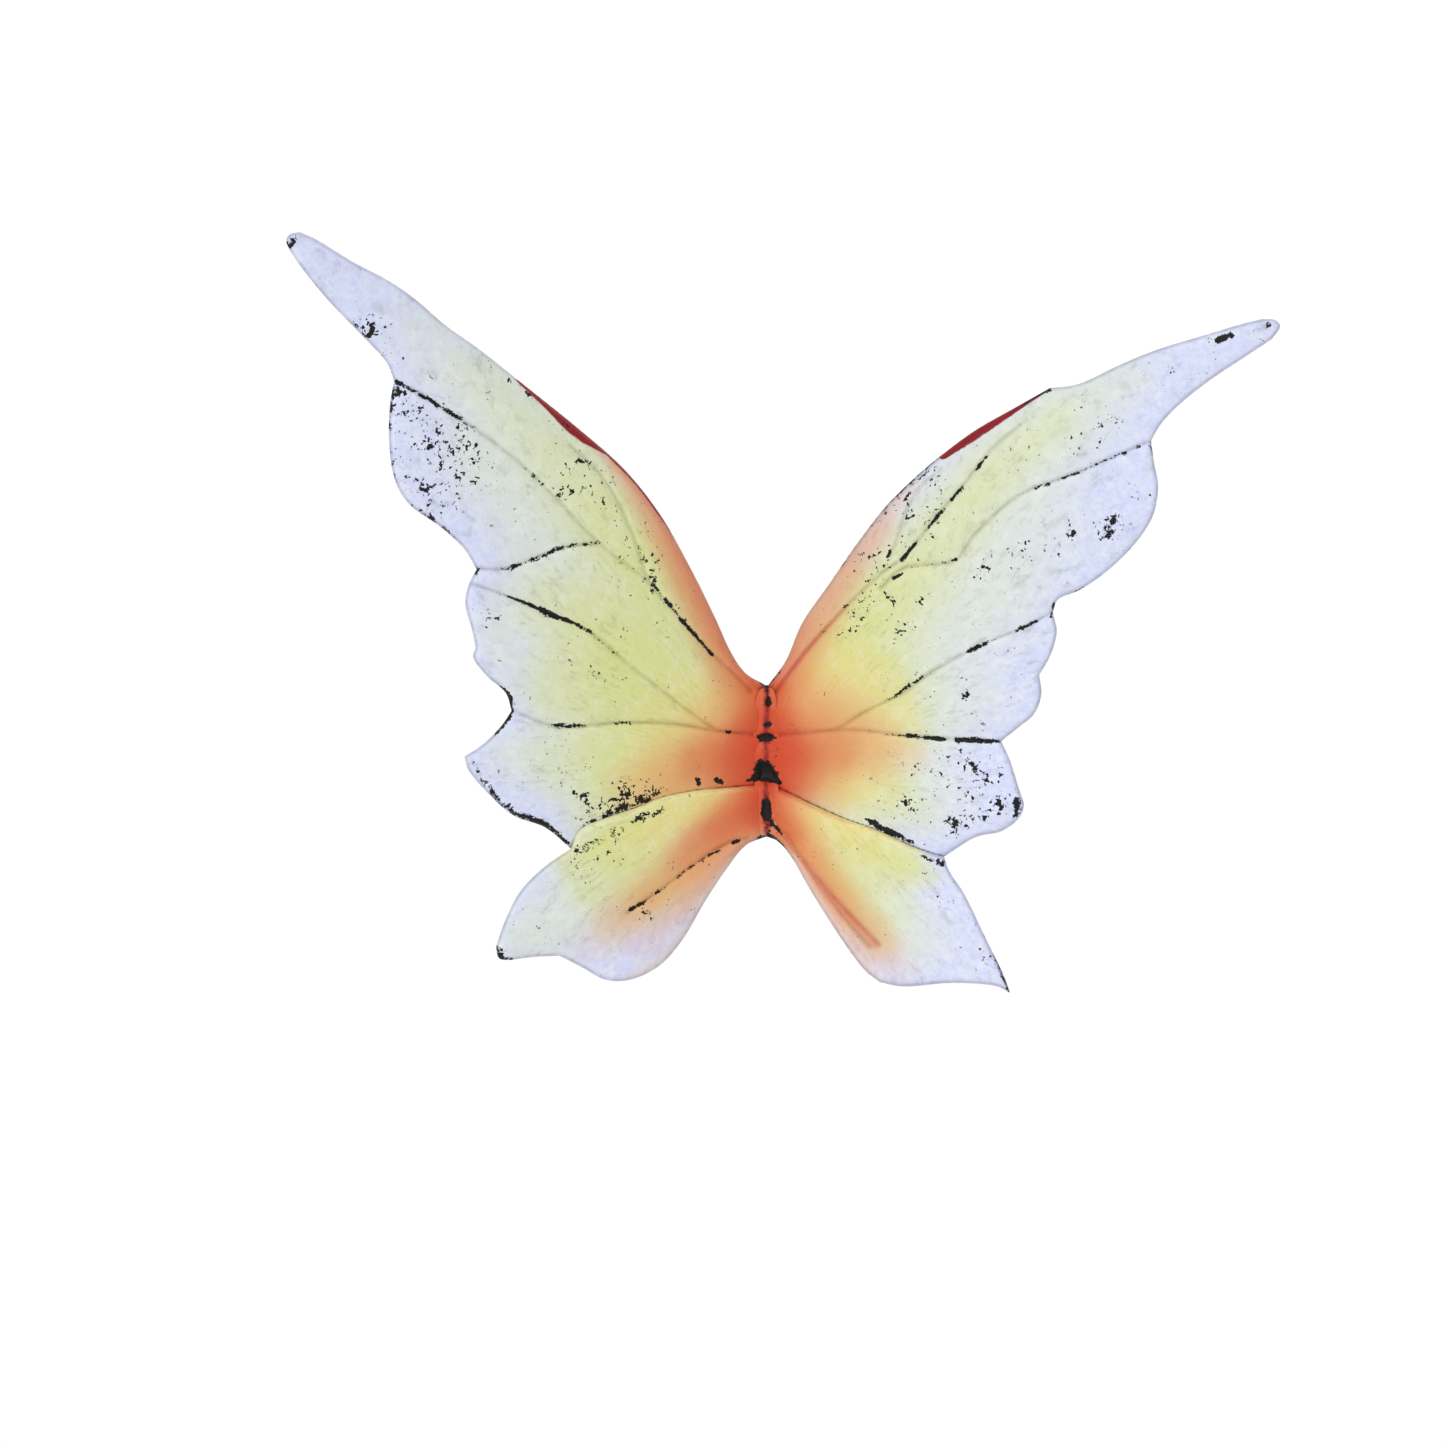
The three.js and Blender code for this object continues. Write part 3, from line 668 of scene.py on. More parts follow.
shape = given["Geometry"]
for label, value in (("vein", vein), ("rim", rim)):
    kept = {"Name": label, "Geometry": shape, "Value": value}
    shape = carving.out("GeometryNodeStoreNamedAttribute", kept, data_type="FLOAT", domain="POINT")
moved = carving.scaled(carving.out("ShaderNodeCombineXYZ", {"X": x, "Y": level, "Z": z}), MM)
placed = carving.out("GeometryNodeSetPosition", {"Geometry": shape, "Position": moved})
deliver(carving, end, placed, given["Paint"])

# Broken black: wash that has caught in a low place and worn off again, so it comes in dashes
wash, given, end, _ = node_tree(
    "ShaderNodeTree",
    "broken_wash",
    [("Place", VECTOR, None), ("Amount", NUMBER, 0.0), ("Dash per mm", NUMBER, 1.1)],
    [("Cover", NUMBER)],
)
# It covers where an uneven level passes what the amount leaves to be reached; past 1 it is solid
patches = wash.noise(given["Place"], given["Dash per mm"], 3.0, 0.6, 0.6)
ragged = wash.noise(given["Place"], given["Dash per mm"] * 5.0, 2.0, 0.6)
level = patches * 1.9 - 0.45 + (ragged - 0.5) * 0.9
solid = wash.math("POWER", given["Amount"], 4.0) * 0.28
needed = 0.99 - (given["Amount"] * 0.75 + solid)
wash.feed(end, {"Cover": wash.fade(level - needed, -0.02, 0.06)})

# Flecks: ragged dark specks where the wash has dried in pinholes, gathered in clusters
fleck, given, end, _ = node_tree(
    "ShaderNodeTree",
    "dried_flecks",
    [("Place", VECTOR, None), ("Density", NUMBER, 0.0), ("Flecks per mm", NUMBER, 1.55)],
    [("Cover", NUMBER)],
)
small = fleck.noise(given["Place"], given["Flecks per mm"], 2.0, 0.55, 0.12)
gathered = (fleck.noise(given["Place"], 0.5, 2.0, 0.5) - 0.5) * 0.5
needed = 0.765 - given["Density"] * 0.3
cover = fleck.fade(small + gathered - needed, 0.0, 0.03)
fleck.feed(end, {"Cover": cover * fleck.fade(given["Density"], 0.0, 0.08)})

# Undercoat, and the coats sprayed over it in their order
LAVENDER, PALE_LAVENDER = shade(203, 209, 241), shade(226, 230, 240)
PAINTS = {
    "mist": shade(214, 221, 209),
    "yellow": shade(210, 215, 142),
    "gold": shade(226, 208, 134),
    "orange": shade(220, 140, 90),
    "red": shade(206, 74, 42),
    "rose": shade(219, 160, 136),
    "chalk": shade(226, 206, 196),
}
BLACK, DARK_CRIMSON, CRIMSON = shade(14, 12, 10), shade(112, 12, 20), shade(156, 24, 30)
# The grey darkens the rim as painted shade; the pale yellow is worn paint and a painted highlight
BROWN_FILM, RIM_SHADE_GREY, WORN_HIGHLIGHT_YELLOW = shade(150, 120, 90), shade(188, 180, 190), shade(240, 230, 160)
GREY_STREAK, THICK_PAINT = shade(168, 170, 154), shade(236, 238, 236)
STREAKS_AROUND, STREAK_PACE = 26.0, 0.4  # how fine the streaks are round the root, and along it
# How much wider than its stroke each coat or mark spreads
SPREAD = {**dict.fromkeys(PAINTS, 1.0), "ink": 1.3, "flecks": 1.6}


def wing_paint(name):
    material, wiring, surface = finish_material(name)
    place = wiring.millimetres()
    grained = use(wiring, grain, Place=place, Grains_per_mm=1.8, Depth=0.05)
    mottle = grained["Mottle"]
    uneven = (wiring.noise(place, 0.35, 3.0, 0.55) - 0.5) * 1.1
    coat = wiring.mix(wiring.fade(mottle, 0.3, 0.7, 0.0, 0.5), LAVENDER, PALE_LAVENDER)
    for field, colour in PAINTS.items():
        cover = wiring.field(field)
        ragged = wiring.math("ADD", cover, uneven * (cover * (1.0 - cover)), clamp=True)
        coat = wiring.mix(ragged, coat, colour)
    # Painted light: the forewing's floor under the lap, seen only in the shaded gap there, is painted gold
    # so the gap reads orange-brown, not dark
    lapped = wiring.math("MULTIPLY", wiring.field("lap"), wiring.field("layer"), clamp=True)
    coat = wiring.mix(lapped, coat, PAINTS["gold"])

    # A thin film of wash in every line, painted shade on the rim, and worn paint with a painted highlight
    # on yellow parts
    rim, yellow, orange = wiring.field("rim"), wiring.field("yellow"), wiring.field("orange")
    line = wiring.fade(wiring.field("vein"), 0.04, 0.26, 1.0, 0.0)
    coat = wiring.mix(line * 0.24, coat, BROWN_FILM, "MULTIPLY")
    # Painted shade: the coat turns greyer towards the rim
    rim_shade = wiring.fade(rim, 0.08, 0.42, 1.0, 0.0) * wiring.fade(mottle, 0.3, 0.6, 0.45, 1.0)
    coat = wiring.mix(rim_shade * (0.62 - yellow * 0.5), coat, RIM_SHADE_GREY, "MULTIPLY")
    # Along the rim where the coat is yellow: worn paint and a painted highlight
    worn_highlight = wiring.fade(rim, 0.2, 0.7, 1.0, 0.0) * wiring.fade(mottle, 0.35, 0.55)
    worn_highlight *= wiring.math("SUBTRACT", yellow, orange, clamp=True)
    coat = wiring.mix(worn_highlight * 0.7, coat, WORN_HIGHLIGHT_YELLOW)

    # Dry-brushing in streaks that run outwards from the root, and patches where the pale paint is thick
    x, _, z = wiring.split(place)
    turned = wiring.math("ARCTAN2", z, x) * STREAKS_AROUND
    outwards = wiring.math("SQRT", x * x + z * z) * STREAK_PACE
    brushed = wiring.out("ShaderNodeCombineXYZ", {"X": turned, "Y": outwards})
    pale = wiring.math("SUBTRACT", 1.0, orange + yellow * 0.45, clamp=True)
    scrub = wiring.fade(wiring.noise(brushed, 1.5, 5.0, 0.7, 0.3), 0.47, 0.7) * (0.4 + pale * 0.6)
    patchy = wiring.fade(wiring.noise(place, 0.3, 2.0, 0.5), 0.35, 0.65, 0.3, 1.0)
    coat = wiring.mix(scrub * patchy * 0.42, coat, GREY_STREAK, "MULTIPLY")
    lifted = wiring.fade(wiring.noise(place, 0.7, 5.0, 0.7), 0.46, 0.7) * pale
    coat = wiring.mix(lifted * 0.34, coat, THICK_PAINT)

    # Crimson of the painted fronts, where it shows past the edge, and the black over everything
    crimson = wiring.fade(wiring.field("crimson") + (mottle - 0.5) * 0.3, 0.4, 0.6)
    coat = wiring.mix(crimson, coat, wiring.mix(mottle, DARK_CRIMSON, CRIMSON))
    flecks = wiring.field("flecks")
    black = use(wiring, wash, Place=place, Amount=wiring.field("ink"))["Cover"]
    specks = use(wiring, fleck, Place=place, Density=flecks)["Cover"]
    dust = use(wiring, fleck, Place=place, Density=flecks * 0.8 + 0.05, Flecks_per_mm=2.6)["Cover"]
    dark = wiring.math("MAXIMUM", black, wiring.math("MAXIMUM", specks, dust))
    looks = {
        "Base Color": wiring.mix(dark, coat, BLACK),
        "Roughness": wiring.fade(mottle, 0.3, 0.7, 0.46, 0.58) + dark * 0.12,
        "Specular IOR Level": 0.3,
        "Normal": grained["Normal"],
    }
    wiring.feed(surface, looks)
    return material


forewing_paint = wing_paint("painted_forewing")

# Lap lines, outlines and veins are [x, z] points. Coats, ink and flecks are airbrush strokes.
LEFT_LAP = [
    [-19.3, -8.2], [-18.4, -6.3], [-16, -5.2], [-13, -4.2], [-10.5, -3.2], [-7.1, -2.5], [-3.6, -2.2],
    [-0.15, -1.9],
]
RIGHT_LAP = [[17.5, -9], [14.7, -8.1], [11.2, -6.5], [7.8, -5.3], [4.8, -4], [1.9, -2.6], [0.15, -1.9]]

FOREWINGS = {
    "left_forewing": {
        "lap": LEFT_LAP,
        "leading": [
            [-0.15, 8], [-2.1, 9.2], [-3.6, 11.4], [-5.2, 14.9], [-7.6, 19.7], [-10.5, 24.8], [-14, 29.2],
            [-18.4, 33.1], [-24.3, 37.8], [-28.1, 40.8], [-31.5, 43.2], [-34.3, 45.6], [-36.9, 47.4],
            [-40.7, 49.4], [-43.8, 51.3], [-45.6, 52.1],
        ],
        "trailing": [
            [[-45.6, 52.1], [-46.5, 51.9], [-46.9, 51.2], [-46.5, 50.2]],
            [[-46.5, 50.2], [-45.1, 48.2], [-42.7, 45.3], [-39.8, 42.3], [-37.3, 39.6], [-36.5, 37.7]],
            [[-36.5, 37.7], [-36.9, 35.3], [-37, 31.9], [-36.5, 28.2], [-35, 25.6], [-32.1, 23.5],
             [-29.8, 21.4], [-28.5, 19.3]],
            [[-28.5, 19.3], [-29.3, 17.7], [-29.6, 15.8], [-29, 13.5], [-28.6, 11.6]],
            [[-28.6, 11.6], [-28.8, 10.5], [-27.4, 8.7], [-25.7, 7.2], [-25.1, 5.4]],
            [[-25.1, 5.4], [-26.2, 3.8], [-27.9, 2.1], [-29.7, 0.9]],
            [[-29.7, 0.9], [-29.2, -0.6], [-27.2, -2.9], [-24.9, -4.9], [-21.8, -6.1], [-19.3, -8.2]],
        ],
        "veins": [
            [[-1.4, 7.3], [-3.1, 9], [-5.6, 11.3], [-8.6, 14.7], [-11.5, 18.1], [-12.8, 21.8],
             [-14.5, 25.7], [-16.4, 28.7], [-19.4, 31.6]],
            [[-11.5, 18.1], [-16.4, 21.8], [-20.4, 25.9], [-23.8, 29.3], [-27.2, 32], [-30.1, 34],
             [-33, 35.8], [-36.4, 37.7]],
            [[-16.4, 21.8], [-19.4, 21.6], [-22.3, 20.6], [-25.3, 19.4], [-28.5, 19.3]],
            [[-4.9, 3.4], [-7.6, 5.3], [-11, 7.9], [-14.5, 10.7], [-17.6, 13.3], [-21.3, 14.9],
             [-25.3, 16.6], [-29.1, 17.9]],
            [[-0.6, 3], [-4.9, 3.4], [-9.5, 4.1], [-14.5, 4.2], [-20.4, 3.8], [-25.1, 5.4]],
        ],
        "mist": [
            [[-5, 5, 12, 1], [-12, 16, 12, 1], [-20, 28, 11, 1], [-28, 37, 8, 0.9], [-34, 42.5, 5, 0.5]],
            [[-8, 3, 12, 1], [-22, 14, 8, 1], [-26, 13, 4.5, 0.7]],
            [[-8, 0, 10, 1], [-20, 1, 8, 1], [-25, 1, 4, 0.7]], [[-18, 24, 10, 1], [-27, 29, 7, 0.7]],
            [[-20, 8, 8, 0.8], [-24, 9, 5, 0.6]],
        ],
        "yellow": [
            [[-5, 11, 7, 0.6], [-12, 20, 8, 0.9], [-18.6, 28.4, 6.5, 0.6], [-24, 34, 4.5, 0.3],
             [-29, 39, 3, 0.1]],
            [[-8, 6, 9, 0.9], [-15, 12, 9, 0.9], [-20, 16, 6.5, 0.6], [-24, 19, 4, 0.2]],
            [[-8, 2, 9, 1], [-16, 1, 8, 0.85], [-20, 0, 5, 0.4]], [[-9, -1, 7, 0.8], [-17, -4.5, 5, 0.6]],
            [[-13, 8, 8, 0.8], [-20, 7.5, 6, 0.6]],
        ],
        "gold": [[[-2, 6, 9, 0.7], [-8, 3, 8, 0.55], [-11, -1, 6, 0.4]]],
        "orange": [
            [[-1, 7, 5, 1], [-4.8, 13.3, 4, 0.95], [-8.4, 20, 3.3, 0.85], [-12, 26, 2.4, 0.62],
             [-15.6, 30.4, 1.3, 0.5], [-18.4, 32.8, 0.8, 0.3]],
            [[0, 4, 9, 1], [-4, 1.5, 7.5, 0.9], [-8, 0, 6, 0.45]],
            [[0, -1, 8, 1], [-6, -1.5, 6, 0.6], [-12, -2.4, 5, 0.45]],
        ],
        "red": [
            [[0, 7, 3.4, 0.8], [0, 3, 5.5, 1], [0, -2, 7, 1]], [[-1, 1, 5, 0.8], [-6.5, 0.3, 3.5, 0.4]],
            [[-1.5, 8.5, 2.2, 0.5], [-4.8, 14, 1.6, 0.35], [-8, 20, 1.1, 0.4], [-11.2, 25.6, 0.9, 0.5],
             [-15, 30.2, 0.8, 0.5]],
        ],
        "rose": [[
            [-3, 9.8, 1.6, 0.2], [-6, 15.6, 1.8, 0.25], [-9.2, 21.8, 1.5, 0.25], [-12.6, 27, 1, 0.2],
        ]],
        "crimson_behind": [
            [[-24.4, 37.9, 0.4, 1], [-21.6, 35.7, 1, 1], [-18.8, 33.4, 1.7, 1], [-17.2, 32.2, 1.5, 1],
             [-16.1, 31.2, 0.7, 1]],
            [[-15.9, 31.1, 0.5, 1], [-12.6, 27.7, 0.5, 0.9], [-9.5, 23.3, 0.35, 0.8]],
        ],
        "crimson_front": [[
            [-1, 8, 4, 1], [-5.2, 14.5, 3.4, 1], [-10.5, 24.4, 3.2, 1], [-18.4, 32.6, 2.6, 1],
            [-28, 40.4, 1.8, 1], [-37, 47, 1.2, 0.8],
        ]],
        "ink": [
            [[-8.8, 14.9, 0.3, 0.9], [-11.3, 18, 0.28, 0.75]],
            [[-5.4, 11, 0.22, 0.9], [-8.6, 14.6, 0.34, 1]], [[-4.2, 10, 0.2, 0.5], [-5.4, 11, 0.25, 0.6]],
            [[-10.9, 18.2, 0.5, 0.62], [-12.6, 21.6, 0.45, 0.55]],
            [[-17.6, 13.3, 0.35, 0.6], [-19.2, 14.1, 0.42, 0.95], [-21.3, 14.9, 0.45, 1],
             [-23.5, 15.9, 0.32, 0.9], [-25.6, 16.7, 0.26, 0.85], [-26.6, 17, 0.22, 0.6]],
            [[-14.5, 10.7, 0.25, 0.5], [-17.6, 13.3, 0.35, 0.62]],
            [[-16.4, 21.9, 0.4, 0.65], [-19.4, 21.7, 0.35, 0.6], [-22.3, 20.6, 0.38, 0.75],
             [-25.3, 19.4, 0.42, 0.8], [-26.2, 19.3, 0.3, 0.5]],
            [[-36.2, 37.6, 0.4, 0.85], [-33, 35.8, 0.34, 0.8], [-30.1, 34, 0.36, 0.75],
             [-28.6, 33, 0.3, 0.5]], [[-21.6, 27.2, 0.3, 0.5], [-23.8, 29.3, 0.38, 0.75]],
            [[-13.5, 4.2, 0.3, 0.5], [-14.9, 4.2, 0.38, 0.8], [-15.6, 4.2, 0.3, 0.4]],
            [[-18, 4, 0.4, 0.7], [-20.6, 3.9, 0.5, 0.85], [-21.5, 3.8, 0.3, 0.4]],
            [[-26.6, 8, 0.4, 0.8], [-25.5, 6.8, 0.6, 1], [-25.2, 5.4, 0.65, 1], [-26, 4, 0.5, 0.95],
             [-27, 2.9, 0.4, 0.6]], [[-28.6, 19.2, 0.6, 0.9], [-28.9, 18.2, 0.4, 0.6]],
            [[-28.8, 0.3, 0.4, 0.5], [-27, -2.6, 0.45, 0.66], [-24.8, -4.6, 0.55, 0.8],
             [-21.8, -5.9, 0.6, 0.85], [-19.6, -7.6, 0.5, 0.9]],
            [[-36.4, 37.6, 0.3, 0.7], [-36.8, 35.2, 0.35, 0.75], [-37, 32, 0.35, 0.6],
             [-36.4, 28.2, 0.3, 0.5]],
            [[-34.6, 25.6, 0.45, 0.6], [-32.1, 23.6, 0.5, 0.7], [-30.6, 22.2, 0.4, 0.6]],
            [[-46.6, 50.8, 0.7, 0.85], [-46, 51.6, 0.5, 0.6]],
            [[-13.5, -4, 1, 0.6], [-11.5, -3, 0.9, 0.62], [-10.4, -2.4, 0.7, 0.6]],
            [[-17.5, -5.6, 0.8, 0.66], [-15.5, -4.8, 1, 0.66], [-13.8, -4, 0.8, 0.62]],
            [[-6.75, -1.5, 0.36, 1], [-6.7, -1.9, 0.36, 1]], [[-5, -1.5, 0.46, 1], [-4.6, -1.7, 0.46, 1]],
            [[-3.9, 3.3, 0.34, 1], [-3.6, 3.3, 0.3, 1]], [[-0.5, 0.4, 0.6, 1], [-0.7, -0.8, 0.85, 1]],
            [[-0.8, -1.2, 0.5, 1], [-1.9, -1.5, 0.34, 1]], [[-0.2, 2.8, 0.5, 1], [-0.8, 2.9, 0.4, 0.9]],
            # A dark line along the rim of the notch between the forewings' tops: painted shade
            [[-1.7, 9, 0.2, 0.8], [-0.9, 8.5, 0.2, 0.9], [-0.1, 8, 0.3, 1]],
        ],
        "flecks": [
            [[-33.4, 34, 2.2, 0.36], [-31.5, 31.5, 2.8, 0.52], [-30.2, 29.2, 2.8, 0.58],
             [-31.4, 26.6, 2.4, 0.42]],
            [[-40.5, 43.3, 1.8, 0.45], [-37.8, 40.6, 1.6, 0.5], [-36.2, 36, 1.6, 0.4],
             [-35.4, 32, 1.6, 0.42], [-34.6, 28.6, 1.6, 0.35]],
            [[-28, 41, 1.6, 0.22], [-22, 36, 1.6, 0.3], [-20, 31, 1.5, 0.2]],
            [[-19.5, 27.2, 1.5, 0.6], [-19.6, 28, 1.5, 0.6]],
            [[-27.5, 15, 1.8, 0.4], [-26.5, 13.5, 1.6, 0.3]],
            [[-21, 2, 2, 0.25], [-19.6, 0, 1.6, 0.35], [-19.5, -2, 1.5, 0.4]],
            [[-18, -5.8, 1.8, 0.6], [-14.5, -3.4, 2, 0.55], [-11, -2.2, 1.4, 0.45]],
            [[-14, 9, 2.5, 0.12], [-17.5, 8, 2.5, 0.15]],
            [[-9.5, 15, 2, 0.3], [-12.4, 20.4, 2.2, 0.4], [-14.6, 25, 1.8, 0.35], [-18, 29.6, 1.6, 0.3]],
            [[-35, 28, 2, 0.25], [-33, 25, 1.5, 0.35]],
        ],
    },
    "right_forewing": {
        "lap": RIGHT_LAP,
        "leading": [
            [0.15, 7.9], [2, 10.5], [3.6, 14.2], [6.3, 18.1], [9, 22], [11.7, 25.5], [14.5, 28.3],
            [17.1, 30.5], [20.5, 33], [24.4, 35.2], [27.8, 37.1],
        ],
        "trailing": [
            [[27.8, 37.1], [30.7, 37.5], [34.6, 39.3], [38.4, 40.8], [42.8, 42.1], [46.2, 43.1],
             [48.3, 43.6]], [[48.3, 43.6], [49.5, 43.5], [50, 42.8], [49.2, 41.6]],
            [[49.2, 41.6], [46.6, 39.9], [43.3, 37.7], [40.4, 35.4], [38.6, 33.5], [37.6, 31.8]],
            [[37.6, 31.8], [37.9, 29.7], [38.3, 27.3], [37.8, 24.5], [36.1, 21.8], [33.5, 19.2],
             [30.8, 17.3], [28.7, 16.4], [28.1, 15.1]],
            [[28.1, 15.1], [28.5, 13.1], [27.9, 10.9], [26.8, 8.9]],
            [[26.8, 8.9], [27, 7], [26.3, 5.1], [24.7, 3.7], [23.1, 2.4]],
            [[23.1, 2.4], [24, 0.4], [24.8, -2.2], [25.3, -3.9], [24.7, -5.3], [23, -6.5], [20.5, -7.1],
             [17.5, -9]],
        ],
        "veins": [
            [[0.6, 6.8], [1.9, 8.7], [4.5, 12], [7.8, 15.6], [11.2, 18.8], [13.7, 20.7], [16.6, 24.3],
             [19.3, 27.5], [22, 30.9], [24.9, 33.5]],
            [[11.2, 17.4], [13.7, 19.5], [18.4, 20.1], [20.5, 22.7], [23.4, 25.5], [25.9, 27.1],
             [29.8, 28.5], [33.4, 30], [37.6, 31.8]],
            [[6.8, 3.4], [10.2, 5.5], [13.2, 7], [17.1, 9.7], [21.3, 11.9], [25.4, 13.6], [28.1, 15.1]],
            [[0.6, 2.9], [4.3, 3.2], [8.3, 3.5], [13.2, 3], [18.1, 2.6], [23.1, 2.4]],
            [[12.2, 20.6], [14.4, 26.4], [17.2, 29.2]],
        ],
        "mist": [
            [[5, 8, 12, 1], [12, 17, 11, 1], [20, 25, 10, 1], [28, 33, 8, 1], [35, 38, 4.5, 0.7]],
            [[8, 2, 12, 1], [16, 5, 8, 0.9], [21, 7, 5, 0.5]], [[8, -1, 8, 1], [16, -3, 6, 0.7]],
            [[14, 12, 10, 0.9], [22, 17, 8, 0.8], [27, 23, 7, 0.5]],
        ],
        "yellow": [
            [[4, 9, 8, 1], [10, 15, 8.5, 0.9], [16.5, 21.5, 6, 0.6], [22.6, 29.2, 4.4, 0.52],
             [28.5, 34.2, 3.4, 0.35]], [[7, 3, 8, 1], [12.5, 4, 6, 0.7]],
            [[8, 10, 7, 0.9], [12, 8.5, 6, 0.9], [15, 9, 5, 0.3]],
            [[5, -1, 6, 0.9], [12, -3, 5, 0.7], [15.5, -5, 3, 0.3]],
        ],
        "gold": [[[3, 8, 9, 0.75], [9, 8, 6, 0.6], [11, 2, 6, 0.6], [8, -2, 5, 0.6]]],
        "orange": [
            [[1, 8, 5, 1], [3.8, 12.6, 4.2, 0.75], [7.2, 18.2, 3.6, 0.5], [11, 23.4, 3, 0.3]],
            [[0, 4, 9.5, 1], [5.5, 3.6, 7, 0.85], [11, 1.6, 5, 0.55], [14, 1.2, 3, 0.2]],
            [[0, -1, 8, 1], [5, -1.5, 5.5, 0.6]],
        ],
        "red": [
            [[0, 7, 3.4, 0.8], [0, 3, 5.5, 1], [0, -2, 7, 1]], [[1, 1.2, 5, 0.9], [7, 1.2, 3.6, 0.35]],
            [[1, 8.5, 2, 0.4], [4, 14, 1.2, 0.2]],
            [[0.6, 6.8, 0.4, 0.9], [1.9, 8.7, 0.45, 0.9], [4.5, 12, 0.4, 0.75], [7.8, 15.6, 0.3, 0.35]],
        ],
        "rose": [[
            [1.6, 9.6, 2.2, 0.4], [4.6, 14.4, 2.6, 0.5], [8, 19.6, 2.4, 0.5], [11.6, 24.6, 1.8, 0.4],
            [14.4, 27.8, 1.2, 0.25],
        ]],
        "crimson_behind": [[
            [17.4, 30.7, 1, 1], [20.5, 33, 1.55, 1], [24, 35, 0.95, 1], [26.6, 36.4, 0.4, 1],
            [27.8, 37.1, 0.3, 1],
        ]],
        "crimson_front": [[
            [1, 8, 4, 1], [5.2, 15.8, 3.4, 1], [11.4, 24.6, 3.2, 1], [19.4, 31.8, 2.8, 1], [28, 36.6, 2, 1],
            [37, 39.6, 1.4, 0.8],
        ]],
        "ink": [
            [[6, 14, 0.2, 0.5], [8.6, 16.4, 0.2, 0.55]], [[13.3, 20.3, 0.32, 1], [14.6, 21.8, 0.3, 1]],
            [[16, 23.6, 0.26, 0.95], [17.2, 25, 0.26, 0.95]],
            [[18.2, 26.2, 0.22, 0.85], [19.3, 27.5, 0.22, 0.85]],
            [[20.6, 29.1, 0.26, 0.95], [21.6, 30.4, 0.26, 0.95]],
            [[12, 19.4, 0.2, 0.5], [14.8, 22, 0.2, 0.5], [19.3, 27.5, 0.2, 0.5]],
            [[12.5, 18.5, 0.32, 0.95], [13.4, 18.9, 0.28, 0.9]],
            [[13.7, 19.5, 0.2, 0.5], [17.6, 20, 0.22, 0.55]],
            [[18.3, 20.2, 0.38, 1], [18.7, 20.4, 0.38, 1]],
            [[21.3, 19.6, 0.3, 0.95], [21.8, 19.4, 0.3, 0.9]],
            [[24.6, 26.6, 0.22, 0.5], [29.8, 28.5, 0.26, 0.62], [33.4, 30, 0.3, 0.72],
             [36.5, 31.3, 0.26, 0.55]], [[11.9, 20.6, 0.3, 0.9], [12.2, 21.2, 0.3, 0.9]],
            [[13.9, 24.3, 0.26, 0.9], [14.5, 24.7, 0.26, 0.85]],
            [[13.6, 26.3, 0.26, 0.85], [14.2, 27, 0.26, 0.8]],
            [[12, 6.4, 0.25, 0.5], [14.5, 8.2, 0.35, 0.85], [16, 9, 0.3, 0.6]],
            [[19.8, 11.2, 0.35, 0.6], [21.5, 12, 0.4, 0.9], [22.5, 12.5, 0.3, 0.5]],
            [[24.5, 13.3, 0.35, 0.8], [26.5, 14.2, 0.35, 0.8]],
            [[11.6, 3.1, 0.3, 0.5], [13.2, 3, 0.34, 0.8], [14.8, 2.9, 0.42, 0.95], [15.3, 2.8, 0.2, 0.3]],
            [[15.7, 2.8, 0.4, 0.95], [17.6, 2.6, 0.4, 0.95], [18, 2.6, 0.2, 0.4]],
            [[18.7, 2.6, 0.4, 0.95], [22, 2.4, 0.45, 1], [22.9, 2.4, 0.3, 0.9]],
            [[6.3, 18.1, 0.16, 0.6], [9, 22, 0.18, 0.7], [11.7, 25.5, 0.2, 0.75], [14.5, 28.3, 0.2, 0.8],
             [17.1, 30.5, 0.22, 0.85]], [[11, 24, 0.2, 0.5], [13.6, 27, 0.2, 0.55], [16.2, 29.2, 0.2, 0.5]],
            [[23.6, 34.8, 0.2, 0.8], [25.6, 35.9, 0.3, 0.95], [27.7, 37, 0.36, 1]],
            [[0.1, 0.3, 0.5, 1], [0.5, -0.8, 0.8, 1]], [[0.6, -1.3, 0.5, 1], [1.3, -1.7, 0.4, 1]],
            [[0.2, 2.8, 0.5, 1], [0.9, 2.7, 0.4, 0.9]],
            # A dark line along the rim of the notch between the forewings' tops: painted shade
            [[0.1, 8, 0.3, 1], [0.9, 8.8, 0.2, 0.9], [1.5, 9.6, 0.16, 0.7]],
            [[43.9, 41.6, 0.55, 1], [45.2, 42, 0.5, 1]], [[48.9, 42.9, 0.7, 0.5], [49.5, 43.1, 0.7, 0.5]],
            [[37.6, 31.6, 0.4, 0.8], [37.8, 30.6, 0.3, 0.5]],
            [[31, 17.5, 0.35, 0.7], [30.3, 17.1, 0.4, 0.75]],
            [[28.2, 15.8, 0.4, 0.7], [28, 14.6, 0.4, 0.75]],
            [[33.6, 22.9, 0.7, 0.86], [34, 24.4, 0.5, 0.8]],
            [[9.6, -5.2, 0.3, 0.6], [11.2, -6, 0.6, 0.95], [13, -6.9, 0.5, 0.9], [14.4, -7.5, 0.3, 0.6]],
            [[24.6, -3.6, 0.6, 0.9], [24.4, -5, 0.5, 0.8]], [[17.9, -5.3, 0.9, 0.66], [19.6, -6, 0.9, 0.7]],
            [[20.1, 0.3, 0.7, 0.66], [20.7, -0.8, 0.6, 0.66]],
        ],
        "flecks": [
            [[19.5, 0.9, 1.6, 0.5], [22, -1.8, 1.4, 0.45], [20.5, -4.5, 1.6, 0.4], [24.2, -3.4, 1.2, 0.6]],
